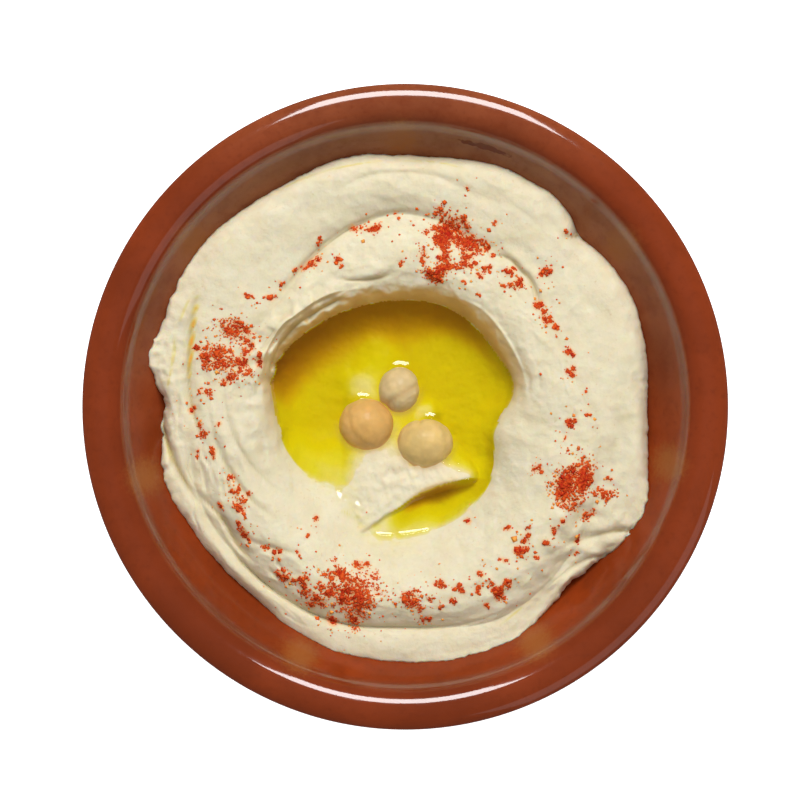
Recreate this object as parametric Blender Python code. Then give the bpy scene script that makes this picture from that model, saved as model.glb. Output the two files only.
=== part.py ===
"""Hummus in its glazed clay bowl: a spooned swirl round a pool of olive oil with three chickpeas.

Everything stands on Z = 0 with the bowl's axis on Z. Sizes are in millimetres and angles in
degrees, counted from +X towards +Y; `MM` turns lengths into metres when a mesh is made.
"""
import math

import bmesh
import bpy
import numpy as np

MM = 0.001
SEGMENTS = 64                # sides of every round, so that hummus and bowl facets run parallel
GAP = 0.3                    # clear space between touching pieces

# Bowl: a shallow turned dish with a rolled rim
RIM_RADIUS = 70.0
BOWL_HEIGHT = 38.0
FOOT_RADIUS = 47.0
CREST_RADIUS = 66.0          # top of the rolled rim
ARRIS_RADIUS = 60.6          # sharp line where the rim meets the inner wall
ARRIS_Z = 33.6
BELLY_Z = 36.0               # where the rim is widest
RIM_ROLL = (5.1, 3.7)        # how far the rim's inner slope runs in and how far it falls
FLOOR_Z = 6.2

# Hummus: closed rings round the bowl as (angle, radius) and (angle, height)
OIL_Z = 21.6                 # level of the oil, which fills the well as far as the shore
SHORE = [(180, 28.7), (164, 30.4), (148, 28.4), (129, 25.9), (100, 23.9), (65, 24.0), (32, 23.4),
         (8, 24.1), (-4, 21.6), (-17, 20.2), (-34, 23.7), (-60, 26.8), (-90, 28.4), (-105, 28.9),
         (-113, 27.2), (-122, 23.0), (-131, 23.7), (-142, 25.7), (-160, 27.9)]
RIDGE = [(180, 37.0), (150, 33.0), (120, 31.6), (90, 31.8), (50, 30.6), (20, 32.5), (0, 35.5),
         (-30, 40.0), (-60, 42.0), (-100, 42.2), (-140, 40.0)]
RIDGE_Z = [(180, 29.8), (130, 29.0), (90, 29.3), (40, 29.6), (-10, 30.6), (-90, 30.6), (-140, 30.2)]
FOLD = [(165, 39.5), (150, 36.8), (138, 36.2), (120, 39.0), (105, 41.4), (92, 42.7), (82, 42.0),
        (66, 39.2), (56, 40.1), (47, 39.9), (32, 36.8), (15, 37.6), (-10, 43.0), (-33, 47.6),
        (-50, 50.0), (-66, 51.2), (-88, 48.6), (-108, 50.0), (-135, 49.9), (-156, 50.0), (-176, 46.5)]
FOLD_Z = [(180, 29.0), (151, 28.9), (129, 27.7), (105, 27.1), (88, 27.1), (66, 27.6), (47, 27.6),
          (30, 28.5), (10, 29.6), (-12, 29.9), (-33, 28.2), (-48, 26.8), (-75, 26.6), (-110, 26.0),
          (-128, 25.3), (-143, 24.8), (-160, 26.4)]
LIP = [(178, 50.4), (160, 52.4), (135, 52.0), (105, 51.4), (85, 51.0), (60, 51.6), (44, 50.2),
       (20, 50.0), (0, 49.4), (-22, 52.6), (-38, 51.4), (-60, 52.9), (-90, 52.4), (-125, 51.6),
       (-155, 51.9)]
LIP_Z = [(178, 28.0), (150, 29.6), (115, 30.2), (85, 30.0), (60, 29.9), (44, 28.6), (25, 29.4),
         (-15, 29.6), (-30, 28.4), (-47, 26.8), (-90, 27.5), (-112, 26.8), (-130, 25.8), (-148, 26.0),
         (-164, 27.4)]
EDGE = [(179, 53.6), (176, 55.0), (170.5, 57.0), (160, 56.7), (143, 57.3), (120, 55.9), (105, 56.5),
        (85, 55.6), (66, 56.9), (50, 56.0), (44.3, 54.2), (38, 55.1), (29, 55.7), (10, 54.6),
        (1, 53.9), (-11, 54.9), (-24, 57.4), (-35, 55.6), (-45, 54.0), (-63, 56.4), (-90, 56.4),
        (-108, 56.0), (-131, 54.0), (-150, 54.7), (-168, 55.3), (-176, 54.0)]

# How straight the well's side climbs from the shore: 1 is a quarter sine, less is steeper
STEEP = [(180, 0.50), (160, 0.36), (145, 0.32), (125, 0.36), (105, 0.48), (60, 0.50), (20, 0.52),
         (0, 0.52), (-20, 0.58), (-45, 0.80), (-75, 1.0), (-100, 1.35), (-125, 1.7), (-145, 1.2),
         (-160, 0.75)]
# Roundness of the outer lobe's shoulder: 0.5 is a quarter round, 1 a thin edge on the wall
BROW = [(180, 0.62), (90, 0.62), (0, 0.62), (-60, 0.62), (-90, 0.8), (-112, 1.0), (-140, 1.0),
        (-165, 0.75)]

# Marks of the spoon: points (angle, radius, depth), reach to the left and to the right of the
# travel. A depth below zero raises a thin lip of hummus.
STROKES = {
    "main crease": ([(147, 36.4, 0.0), (139, 36.5, 0.5), (130, 37.6, 1.1), (118, 39.6, 1.2),
                     (106, 41.4, 1.0), (95, 42.9, 0.8), (87, 42.6, 0.6), (80, 41.4, 0.0)], 1.5, 2.6),
    "notch": ([(44.4, 55.2, 2.2), (45.6, 52.6, 1.4), (48.0, 50.6, 0.0)], 2.4, 2.4),
    "upper swell": ([(110, 50.0, 0.0), (98, 51.6, 0.45), (84, 51.4, 0.5), (72, 49.4, 0.4),
                     (60, 50.2, 0.4), (48, 50.2, 0.0)], 1.8, 3.4),
    "overlap": ([(61, 39.6, 0.0), (55, 41.2, -0.9), (47, 40.9, -1.0), (41, 39.4, -0.8),
                 (35, 37.8, 0.0)], 3.4, 1.4),
    "right tuck": ([(-28.5, 57.2, 1.6), (-31, 53.4, 1.3), (-35.5, 49.6, 0.9), (-41, 46.5, 0.5),
                    (-47, 45.0, 0.0)], 3.0, 1.7),
    "right fold": ([(-36, 56.0, 1.4), (-39, 53.0, 1.0), (-44.5, 51.0, 0.7), (-53, 50.6, 0.0)], 1.8, 1.5),
    "left groove": ([(149, 53.0, 0.0), (158, 50.6, 1.1), (171, 48.4, 1.3), (182, 46.6, 1.2),
                     (193, 44.4, 0.0)], 2.6, 2.2),
    "left tail": ([(-152, 49.6, 0.0), (-162, 51.6, 1.6), (-171, 53.2, 2.2), (-177, 54.4, 2.4)],
                  1.8, 2.0),
    "torn pocket": ([(-133, 47.6, 0.0), (-140, 48.0, 1.7), (-149, 47.4, 1.7), (-158, 49.8, 0.0)],
                    1.5, 2.6),
    "rake 1": ([(-124, 38.6, 0.0), (-131, 41.6, 0.8), (-142, 46.6, 0.0)], 1.6, 1.5),
    "rake 2": ([(-137, 36.8, 0.0), (-150, 39.6, 0.9), (-166, 41.8, 0.8), (-183, 43.8, 0.0)], 1.9, 1.5),
    "rake 3": ([(-143, 32.4, 0.0), (-157, 35.6, 0.7), (-172, 38.4, 0.6), (-188, 40.6, 0.0)], 1.9, 1.6),
    "well ledge": ([(66, 26.6, 0.0), (52, 27.3, -0.4), (36, 26.9, -0.6), (18, 27.0, -0.4),
                    (0, 27.4, 0.0)], 1.5, 1.6),
    "torn lip": ([(176, 31.8, 0.0), (160, 32.8, -0.7), (147, 32.4, -1.1), (139, 31.2, -0.8),
                  (131, 30.5, -1.2), (124, 29.8, -1.0), (116, 28.8, 0.0)], 2.8, 1.5),
    "torn hollow": ([(172, 30.8, 0.0), (158, 30.9, 0.9), (146, 30.2, 1.1), (137, 29.0, 0.9),
                     (126, 28.0, 1.1), (117, 27.6, 0.0)], 1.5, 2.4),
    "upper scar": ([(118, 31.6, 0.0), (106, 29.0, 1.1), (93, 29.4, 0.0)], 1.5, 1.8),
}

# Tongue of hummus that runs out into the oil, as (x, value): its crest's place and height, how far
# it reaches towards the chickpeas, and the width of the cliff on its other side
TONGUE_LINE = [(-18.0, -31.5), (-13.0, -29.4), (-8.8, -27.0), (-4.2, -23.7), (-1.0, -22.0),
               (1.5, -20.1), (4.2, -18.5), (6.8, -17.4), (10.7, -16.4), (14.3, -15.9), (18.0, -16.2)]
TONGUE_TOP = [(-18.0, 20.8), (-14.0, 21.9), (-9.0, 22.7), (-3.4, 22.5), (1.5, 22.6), (6.6, 22.7),
              (11.2, 22.4), (13.2, 22.2), (14.6, 21.7), (15.6, 20.4), (18.0, 14.0)]
TONGUE_REACH = [(-18.0, 6.0), (-15.5, 9.0), (-13.0, 16.0), (-9.0, 20.0), (-3.4, 19.0), (1.5, 12.5),
                (6.6, 6.8), (11.2, 4.0), (14.0, 2.5), (18.0, 2.0)]
TONGUE_CLIFF = 1.6           # width of the cliff where it has fallen CLIFF_DROP
CLIFF_DROP = 4.5
REACH_DROP = 1.9             # how far the other side falls over its reach
TONGUE_LEAN = 0.9            # distance off the crest's line for each millimetre of y
TONGUE_BLEND = 1.4           # width of the fillet between the tongue and the rest
TONGUE_ROOT = 12.0           # most that the tongue falls below its crest

# Floor of the well: how deep it lies, how wide its side is as (angle, width), wide where it runs
# out into a gentle bank, and low rises in it, as centre, reach each way and the
# depth of oil left above
WELL_DEPTH = 4.6
WELL_SIDE = [(180, 2.6), (60, 2.6), (-45, 2.6), (-62, 3.0), (-76, 5.0), (-86, 16.0), (-98, 30.0),
             (-112, 26.0), (-130, 20.0), (-145, 13.0), (-158, 5.0), (-168, 2.8)]
RISES = [(-9.7, 4.8, 4.6, 4.3, 2.6), (4.2, -1.2, 3.0, 2.6, 2.4)]
SLAB_RADIUS = 32.5           # the oil before the hummus is cut out of it

# Chickpeas: centre, half sizes along, across and up, turn about Z, the seam's plane as bearing,
# tilt and distance from the middle as a share of the radius, and the beak's bearing
PEAS = {
    "chickpea_left": ((-8.7, -3.9, 22.6), (6.2, 5.75, 5.4), -14.0, (210.0, -39.0, -0.04), 300.0),
    "chickpea_top": ((-1.3, 3.7, 23.9), (4.6, 5.1, 4.9), 12.0, (-58.0, -3.0, 0.235), 219.0),
    "chickpea_right": ((4.5, -7.95, 22.9), (6.3, 5.3, 5.3), -8.0, (2.0, -12.0, 0.66), 256.0),
}
SEAM_DEPTH = 0.07            # as a share of the radius
SEAM_WIDTH = 0.2
BEAK_HEIGHT = 0.09
BEAK_WIDTH = 0.3
BEAK_RISE = 12.0             # how far the beak points up

# Steps of the hummus's mesh between one ring and the next
WELL_STEPS = 9
STEPS = {"ridge": 3, "fold": 4, "lip": 3, "edge": 4}
UNDERSIDE = (52.9, 50.4, 47.0, 40.5, 24.0)

# Colours as linear red, green, blue, and roughness
CLAY = ((0.235, 0.042, 0.016), 0.18)
HUMMUS = ((0.80, 0.72, 0.50), 0.5)
OIL = ((0.58, 0.42, 0.0), 0.05)
PEA = ((0.74, 0.50, 0.22), 0.35)


def smooth(at, value, x):
    """Reads a smooth curve through the points (at, value): a cubic between each two points."""
    slope = np.gradient(value, at)
    x = np.clip(x, at[0], at[-1])
    i = np.clip(np.searchsorted(at, x, side="right") - 1, 0, len(at) - 2)
    width = at[i + 1] - at[i]
    t = (x - at[i]) / width
    return ((2 * t**3 - 3 * t**2 + 1) * value[i] + (t**3 - 2 * t**2 + t) * width * slope[i]
            + (3 * t**2 - 2 * t**3) * value[i + 1] + (t**3 - t**2) * width * slope[i + 1])


def across(knots, x):
    """Reads an open smooth curve through (x, value) knots, level beyond its ends."""
    at, value = np.array(knots, float).T
    return smooth(at, value, x)


def around(knots, angle):
    """Reads a closed smooth curve through (angle, value) knots."""
    at, value = np.array(sorted((a % 360.0, v) for a, v in knots)).T
    at = np.concatenate([at[-3:] - 360.0, at, at[:3] + 360.0])
    value = np.concatenate([value[-3:], value, value[:3]])
    return smooth(at, value, np.mod(angle, 360.0))


def drawn(points, steps=7):
    """A smooth line through points with any number of columns, by Catmull-Rom."""
    points = np.array(points, float)
    points = np.vstack([2 * points[0] - points[1], points, 2 * points[-1] - points[-2]])
    t = np.linspace(0.0, 1.0, steps, endpoint=False)[:, None]
    line = []
    for a, b, c, d in zip(points[:-3], points[1:-2], points[2:-1], points[3:]):
        line.append(0.5 * (2 * b + (c - a) * t + (2 * a - 5 * b + 4 * c - d) * t**2
                           + (3 * b - a - 3 * c + d) * t**3))
    return np.vstack(line + [points[-2][None]])


def beside(x, y, line):
    """For points x, y: signed distance to a line (left of its travel is positive) and its value there."""
    nearest = np.full(x.shape, np.inf)
    side = np.ones(x.shape)
    value = np.zeros(x.shape)
    for start, end in zip(line[:-1], line[1:]):
        run = end[:2] - start[:2]
        t = np.clip(((x - start[0]) * run[0] + (y - start[1]) * run[1]) / (run @ run), 0.0, 1.0)
        dx = x - start[0] - t * run[0]
        dy = y - start[1] - t * run[1]
        away = np.hypot(dx, dy)
        closer = away < nearest
        nearest = np.where(closer, away, nearest)
        side = np.where(closer, np.where(run[0] * dy - run[1] * dx < 0.0, -1.0, 1.0), side)
        value = np.where(closer, start[2] + t * (end[2] - start[2]), value)
    return nearest * side, value


def from_polar(points):
    """Turns (angle, radius, ...) rows into (x, y, ...) rows."""
    points = np.array(points, float)
    angle = np.radians(points[:, 0])
    return np.column_stack([points[:, 1] * np.cos(angle), points[:, 1] * np.sin(angle), points[:, 2:]])


def inner_wall():
    """The bowl's inside from the arris down to the middle of the floor, as (radius, height)."""
    return [(ARRIS_RADIUS, ARRIS_Z), (58.8, 30.5), (56.9, 27.4), (55.0, 24.2), (52.9, 20.6),
            (50.4, 16.6), (47.0, 12.6), (40.5, 8.5), (24.0, FLOOR_Z), (0.0, FLOOR_Z)]


def bowl_profile():
    """The whole section, from the middle of the base round the rim to the middle of the floor."""
    base = [(0.0, 0.0), (FOOT_RADIUS, 0.0), (50.4, 0.9), (53.0, 3.6)]
    wall = [(58.2, 15.0), (62.6, 25.6), (66.6, 28.2), (69.2, 31.4)]
    outer = [(CREST_RADIUS + (RIM_RADIUS - CREST_RADIUS) * math.cos(math.radians(a)),
              BELLY_Z + (BOWL_HEIGHT - BELLY_Z) * math.sin(math.radians(a))) for a in (0, 30, 60, 90)]
    inner = [(CREST_RADIUS - RIM_ROLL[0] * math.sin(math.radians(a)),
              BOWL_HEIGHT - RIM_ROLL[1] * (1.0 - math.cos(math.radians(a)))) for a in (30, 60, 88)]
    return base + wall + outer + inner + inner_wall()


def wall_height(radius):
    """Height of the bowl's inside at a radius."""
    r, z = np.array(inner_wall()[::-1]).T
    return np.interp(radius, r, z)


def softest(a, b, blend):
    """The higher of two heights, with the crease between them filled over a width of blend."""
    t = np.clip(0.5 + 0.5 * (a - b) / blend, 0.0, 1.0)
    return b + (a - b) * t + blend * t * (1.0 - t)


def rings(angle):
    """Radii and heights of the hummus's rings at an angle, from the shore outwards."""
    edge = around(EDGE, angle)
    return {"shore": (around(SHORE, angle), OIL_Z),
            "ridge": (around(RIDGE, angle), around(RIDGE_Z, angle)),
            "fold": (around(FOLD, angle), around(FOLD_Z, angle)),
            "lip": (around(LIP, angle), around(LIP_Z, angle)),
            "edge": (edge, wall_height(edge))}


def share_of(radius, inside, outside):
    """How far a radius lies from one ring to the next, 0 to 1."""
    return np.clip((radius - inside) / (outside - inside), 0.0, 1.0)


def well_height(x, y, shore, angle):
    """Floor of the well: it falls off from the shore by an exponential, with the rises on it."""
    under = np.maximum(shore - np.hypot(x, y), 0.0)
    well = OIL_Z - WELL_DEPTH * (1.0 - np.exp(-under / around(WELL_SIDE, angle)))
    for centre_x, centre_y, reach_x, reach_y, oil_above in RISES:
        out = np.hypot((x - centre_x) / reach_x, (y - centre_y) / reach_y)
        well = well + np.maximum(OIL_Z - oil_above - well, 0.0) * np.exp(-(out**2.6)) * (under > 0.0)
    return well


def tongue_height(x, y):
    """The tongue: a crest with a cliff on one side and a long slope on the other."""
    away = (y - across(TONGUE_LINE, x)) * TONGUE_LEAN
    slope = REACH_DROP * (np.abs(away) / across(TONGUE_REACH, x)) ** 1.7
    cliff = CLIFF_DROP * (np.abs(away) / TONGUE_CLIFF) ** 1.3
    return across(TONGUE_TOP, x) - np.minimum(np.where(away > 0.0, slope, cliff), TONGUE_ROOT)


def hummus_height(x, y):
    """Top of the hummus: rounded lobes that meet in a fold, with the spoon's marks and the tongue."""
    radius = np.hypot(x, y)
    angle = np.degrees(np.arctan2(y, x))
    ring = rings(angle)
    (shore, _), (ridge, ridge_z), (fold, fold_z), (lip, lip_z), (edge, edge_z) = ring.values()
    climb = np.sin(0.5 * np.pi * share_of(radius, shore, ridge)) ** around(STEEP, angle)
    rise = OIL_Z + (ridge_z - OIL_Z) * climb
    inner_lobe = ridge_z - (ridge_z - fold_z) * share_of(radius, ridge, fold) ** 2
    outer_lobe = lip_z - (lip_z - fold_z) * (1.0 - share_of(radius, fold, lip)) ** 2
    brow = edge_z + (lip_z - edge_z) * (1.0 - share_of(radius, lip, edge) ** 2) ** around(BROW, angle)
    height = np.select([radius < shore, radius < ridge, radius < fold, radius < lip],
                       [well_height(x, y, shore, angle), rise, inner_lobe, outer_lobe], brow)
    for points, left, right in STROKES.values():
        away, depth = beside(x, y, drawn(from_polar(points)))
        reach = np.where(away > 0.0, left, right)
        height = height - depth * np.clip(1.0 - np.abs(away) / reach, 0.0, 1.0) ** 2
    return softest(height, tongue_height(x, y), TONGUE_BLEND)


# ---- making the solids
def clear_scene():
    """Empties the file that the script runs in."""
    for thing in list(bpy.data.objects):
        bpy.data.objects.remove(thing, do_unlink=True)


def finish(name, look):
    """A Principled material of a colour and a roughness."""
    colour, roughness = look
    material = bpy.data.materials.new(name)
    material.use_nodes = True
    shader = material.node_tree.nodes["Principled BSDF"]
    shader.inputs["Base Color"].default_value = (*colour, 1.0)
    shader.inputs["Roughness"].default_value = roughness
    return material


def add_object(name, mesh, look=None):
    """Puts a mesh into the scene as a named object; without a look it is a hidden cutter."""
    thing = bpy.data.objects.new(name, mesh)
    bpy.context.scene.collection.objects.link(thing)
    mesh.shade_smooth()
    if look is None:
        thing.hide_render = True
        thing.display_type = "WIRE"
    else:
        mesh.set_sharp_from_angle(angle=math.radians(50.0))
        mesh.materials.append(finish(name, look))
    return thing


def cut(thing, cutter):
    """Takes a cutter out of a solid with a live Boolean."""
    boolean = thing.modifiers.new("cut " + cutter.name, "BOOLEAN")
    boolean.operation = "DIFFERENCE"
    boolean.solver = "EXACT"
    boolean.object = cutter


def compass():
    """The angles of the hummus's and the bowl's facets."""
    return np.arange(SEGMENTS) * 360.0 / SEGMENTS


def bowl_mesh():
    """The bowl's section spun round Z, with its poles and its seam closed."""
    shape = bmesh.new()
    points = [shape.verts.new((r * MM, 0.0, z * MM)) for r, z in bowl_profile()]
    edges = [shape.edges.new(pair) for pair in zip(points[:-1], points[1:])]
    bmesh.ops.spin(shape, geom=points + edges, cent=(0.0, 0.0, 0.0), axis=(0.0, 0.0, 1.0),
                   angle=2.0 * math.pi, steps=SEGMENTS)
    bmesh.ops.remove_doubles(shape, verts=shape.verts[:], dist=0.01 * MM)
    bmesh.ops.recalc_face_normals(shape, faces=shape.faces[:])
    mesh = bpy.data.meshes.new("bowl")
    shape.to_mesh(mesh)
    shape.free()
    return mesh


def inset_wall(gap):
    """The bowl's inside moved into the free space by a gap, as (radius, height) from the floor up."""
    wall = np.array(inner_wall()[::-1])
    run = np.gradient(wall, axis=0)
    run /= np.linalg.norm(run, axis=1)[:, None]
    return wall + gap * np.column_stack([-run[:, 1], run[:, 0]])


def ring_mesh(name, rings_of_points, top, bottom):
    """A closed solid from rings of points, each joined to the next, and shut by a top and a bottom point."""
    points = np.vstack([[top]] + rings_of_points + [[bottom]]) * MM
    last = len(points) - 1
    around_ring = np.arange(SEGMENTS)
    after = (around_ring + 1) % SEGMENTS
    faces = [(0, 1 + i, 1 + j) for i, j in zip(around_ring, after)]
    for ring in range(len(rings_of_points) - 1):
        near = 1 + ring * SEGMENTS
        far = near + SEGMENTS
        faces += [(near + i, far + i, far + j) for i, j in zip(around_ring, after)]
        faces += [(near + i, far + j, near + j) for i, j in zip(around_ring, after)]
    outer = last - SEGMENTS
    faces += [(last, outer + j, outer + i) for i, j in zip(around_ring, after)]
    mesh = bpy.data.meshes.new(name)
    mesh.from_pydata(points.tolist(), [], faces)
    mesh.validate()
    return mesh


def hummus_stations(angle):
    """Radii of the hummus's mesh at the angles, from the middle of the well to the edge."""
    ring = rings(angle)
    stations = [ring["shore"][0] * step / WELL_STEPS for step in range(1, WELL_STEPS + 1)]
    inside = ring["shore"][0]
    for name, steps in STEPS.items():
        outside = ring[name][0] - (GAP if name == "edge" else 0.0)
        stations += [inside + (outside - inside) * step / steps for step in range(1, steps + 1)]
        inside = outside
    return stations


def hummus_mesh(name, lift=0.0):
    """The hummus from its top surface down to the bowl; a lifted one cuts the oil's underside."""
    angle = compass()
    turn = np.radians(angle)
    points = []
    for radius in hummus_stations(angle):
        x = radius * np.cos(turn)
        y = radius * np.sin(turn)
        points.append(np.column_stack([x, y, hummus_height(x, y) + lift]))
    wall_r, wall_z = inset_wall(GAP).T
    edge = points[-1]
    edge[:, 2] = np.interp(np.hypot(edge[:, 0], edge[:, 1]), wall_r, wall_z)
    for radius in UNDERSIDE:
        height = np.full(SEGMENTS, np.interp(radius, wall_r, wall_z))
        points.append(np.column_stack([radius * np.cos(turn), radius * np.sin(turn), height]))
    middle = hummus_height(np.zeros(1), np.zeros(1))[0] + lift
    return ring_mesh(name, points, (0.0, 0.0, middle), (0.0, 0.0, FLOOR_Z + GAP))


def direction(bearing, rise):
    """A unit vector from a bearing and a rise in degrees."""
    bearing, rise = math.radians(bearing), math.radians(rise)
    return np.array([math.cos(rise) * math.cos(bearing), math.cos(rise) * math.sin(bearing),
                     math.sin(rise)])


def pea_mesh(name, grow=0.0):
    """A chickpea: an egg-shaped ball with a seam that parts two lobes and a small beak."""
    centre, half, turn, (seam_bearing, seam_tilt, seam_out), beak_bearing = PEAS[name]
    shape = bmesh.new()
    bmesh.ops.create_icosphere(shape, subdivisions=3, radius=1.0)
    way = np.array([point.co[:] for point in shape.verts])
    off_seam = way @ direction(seam_bearing, seam_tilt) - seam_out
    off_beak = np.arccos(np.clip(way @ direction(beak_bearing, BEAK_RISE), -1.0, 1.0))
    swell = (1.0 - SEAM_DEPTH * np.exp(-((off_seam / SEAM_WIDTH) ** 2))
             + BEAK_HEIGHT * np.exp(-((off_beak / BEAK_WIDTH) ** 2)))
    turned = np.radians(-turn)
    along = way[:, 0] * np.cos(turned) - way[:, 1] * np.sin(turned)
    across_it = way[:, 0] * np.sin(turned) + way[:, 1] * np.cos(turned)
    size = 1.0 / np.sqrt((along / half[0]) ** 2 + (across_it / half[1]) ** 2 + (way[:, 2] / half[2]) ** 2)
    points = (np.array(centre) + way * (size * swell + grow)[:, None]) * MM
    for point, place in zip(shape.verts, points):
        point.co = place
    mesh = bpy.data.meshes.new(name)
    shape.to_mesh(mesh)
    shape.free()
    return mesh


def oil_mesh():
    """A level round slab, wider than the well and as deep, which the hummus is then cut out of."""
    shape = bmesh.new()
    deep = WELL_DEPTH + 1.4
    bmesh.ops.create_cone(shape, cap_ends=True, segments=SEGMENTS, radius1=SLAB_RADIUS * MM,
                          radius2=SLAB_RADIUS * MM, depth=deep * MM)
    bmesh.ops.translate(shape, verts=shape.verts[:], vec=(0.0, 0.0, (OIL_Z - 0.5 * deep) * MM))
    mesh = bpy.data.meshes.new("oil")
    shape.to_mesh(mesh)
    shape.free()
    return mesh


def main():
    clear_scene()
    add_object("bowl", bowl_mesh(), CLAY)
    hummus = add_object("hummus", hummus_mesh("hummus"), HUMMUS)
    oil = add_object("oil", oil_mesh(), OIL)
    cut(oil, add_object("hummus cutter", hummus_mesh("hummus cutter", lift=GAP)))
    for name in PEAS:
        add_object(name, pea_mesh(name), PEA)
        cutter = add_object(name + " cutter", pea_mesh(name, grow=GAP))
        cut(hummus, cutter)
        cut(oil, cutter)


main()
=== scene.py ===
"""Bowl of hummus: the finished surfaces of a glazed clay bowl, its swirled hummus, the olive oil
in the well, three chickpeas and the sprinkled paprika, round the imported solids.

Shapes are worked out in millimetres and degrees, counted from +X towards +Y, and turned into
metres when a mesh is made.
"""
import math

import bpy
import numpy as np
from bpy.props import FloatProperty, FloatVectorProperty, IntProperty, PointerProperty
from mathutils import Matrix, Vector


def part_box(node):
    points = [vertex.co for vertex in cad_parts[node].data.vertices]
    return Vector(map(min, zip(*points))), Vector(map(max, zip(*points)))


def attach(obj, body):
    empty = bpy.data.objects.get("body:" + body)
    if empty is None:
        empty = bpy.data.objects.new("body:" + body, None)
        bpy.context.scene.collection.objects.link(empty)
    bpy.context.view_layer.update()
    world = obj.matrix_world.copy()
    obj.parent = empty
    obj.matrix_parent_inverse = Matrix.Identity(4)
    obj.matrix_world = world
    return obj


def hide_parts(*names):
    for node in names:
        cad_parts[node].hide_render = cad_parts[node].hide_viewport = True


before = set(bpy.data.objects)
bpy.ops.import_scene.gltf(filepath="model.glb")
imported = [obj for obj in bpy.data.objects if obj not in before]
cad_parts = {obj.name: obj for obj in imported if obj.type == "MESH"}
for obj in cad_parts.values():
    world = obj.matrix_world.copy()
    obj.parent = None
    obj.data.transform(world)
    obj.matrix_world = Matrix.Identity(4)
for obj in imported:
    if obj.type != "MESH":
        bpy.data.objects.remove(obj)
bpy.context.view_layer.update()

bl_info = {
    "name": "Bowl of Hummus",
    "version": (1, 0, 0),
    "blender": (4, 5, 0),
    "location": "3D View > Sidebar > Hummus",
    "description": "Makes a bowl of hummus with olive oil, chickpeas and paprika",
    "category": "Add Mesh",
}

MM = 0.001
BOWL_LOW, BOWL_HIGH = (Vector(corner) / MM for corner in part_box("bowl"))
RIM_RADIUS = BOWL_HIGH.x
BOWL_HEIGHT = BOWL_HIGH.z
OIL_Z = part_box("oil")[1][2] / MM
FOOT_RADIUS = 47.0
CREST_RADIUS = 66.0
ARRIS_RADIUS = 60.6
ARRIS_Z = 33.6
FLOOR_Z = 6.2
SEED = 11

# The hummus's closed rings, as (angle, radius) and (angle, height)
SHORE = [(180, 28.7), (164, 30.4), (148, 28.4), (129, 25.9), (100, 23.9), (65, 24.0), (32, 23.4),
         (8, 24.1), (-4, 21.6), (-17, 20.2), (-34, 23.7), (-60, 26.8), (-90, 28.4), (-105, 28.9),
         (-113, 27.2), (-122, 23.0), (-131, 23.7), (-142, 25.7), (-160, 27.9)]
RIDGE = [(180, 37.0), (150, 33.0), (120, 31.6), (90, 31.8), (50, 30.6), (20, 32.5), (0, 35.5),
         (-30, 40.0), (-60, 42.0), (-100, 42.2), (-140, 40.0)]
RIDGE_Z = [(180, 29.8), (130, 29.0), (90, 29.3), (40, 29.6), (-10, 30.6), (-90, 30.6), (-140, 30.2)]
FOLD = [(165, 39.5), (150, 36.8), (138, 36.2), (120, 39.0), (105, 41.4), (92, 42.7), (82, 42.0),
        (66, 39.2), (56, 40.1), (47, 39.9), (32, 36.8), (15, 37.6), (-10, 43.0), (-33, 47.6),
        (-50, 50.0), (-66, 51.2), (-88, 48.6), (-108, 50.0), (-135, 49.9), (-156, 50.0), (-176, 46.5)]
FOLD_Z = [(180, 29.0), (151, 28.9), (129, 27.7), (105, 27.1), (88, 27.1), (66, 27.6), (47, 27.6),
          (30, 28.5), (10, 29.6), (-12, 29.9), (-33, 28.2), (-48, 26.8), (-75, 26.6), (-110, 26.0),
          (-128, 25.3), (-143, 24.8), (-160, 26.4)]
LIP = [(178, 50.4), (160, 52.4), (135, 52.0), (105, 51.4), (85, 51.0), (60, 51.6), (44, 50.2),
       (20, 50.0), (0, 49.4), (-22, 52.6), (-38, 51.4), (-60, 52.9), (-90, 52.4), (-125, 51.6),
       (-155, 51.9)]
LIP_Z = [(178, 28.0), (150, 29.6), (115, 30.2), (85, 30.0), (60, 29.9), (44, 28.6), (25, 29.4),
         (-15, 29.6), (-30, 28.4), (-47, 26.8), (-90, 27.5), (-112, 26.8), (-130, 25.8), (-148, 26.0),
         (-164, 27.4)]
EDGE = [(179, 53.6), (176, 55.0), (170.5, 57.0), (160, 56.7), (143, 57.3), (120, 55.9), (105, 56.5),
        (85, 55.6), (66, 56.9), (50, 56.0), (44.3, 54.2), (38, 55.1), (29, 55.7), (10, 54.6),
        (1, 53.9), (-11, 54.9), (-24, 57.4), (-35, 55.6), (-45, 54.0), (-63, 56.4), (-90, 56.4),
        (-108, 56.0), (-131, 54.0), (-150, 54.7), (-168, 55.3), (-176, 54.0)]

# How straight the well's side climbs from the shore: 1 is a quarter sine, less is steeper
STEEP = [(180, 0.50), (160, 0.42), (145, 0.40), (125, 0.42), (105, 0.48), (60, 0.50), (20, 0.52), (0, 0.52),
         (-20, 0.58), (-45, 0.80),
         (-75, 1.0), (-100, 1.35), (-125, 1.7), (-145, 1.2), (-160, 0.75)]
# Roundness of the outer lobe's shoulder: 0.5 is a quarter round, 1 a thin edge on the wall
BROW = [(180, 0.62), (90, 0.62), (0, 0.62), (-60, 0.62), (-90, 0.8), (-112, 1.0), (-140, 1.0), (-165, 0.75)]

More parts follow.
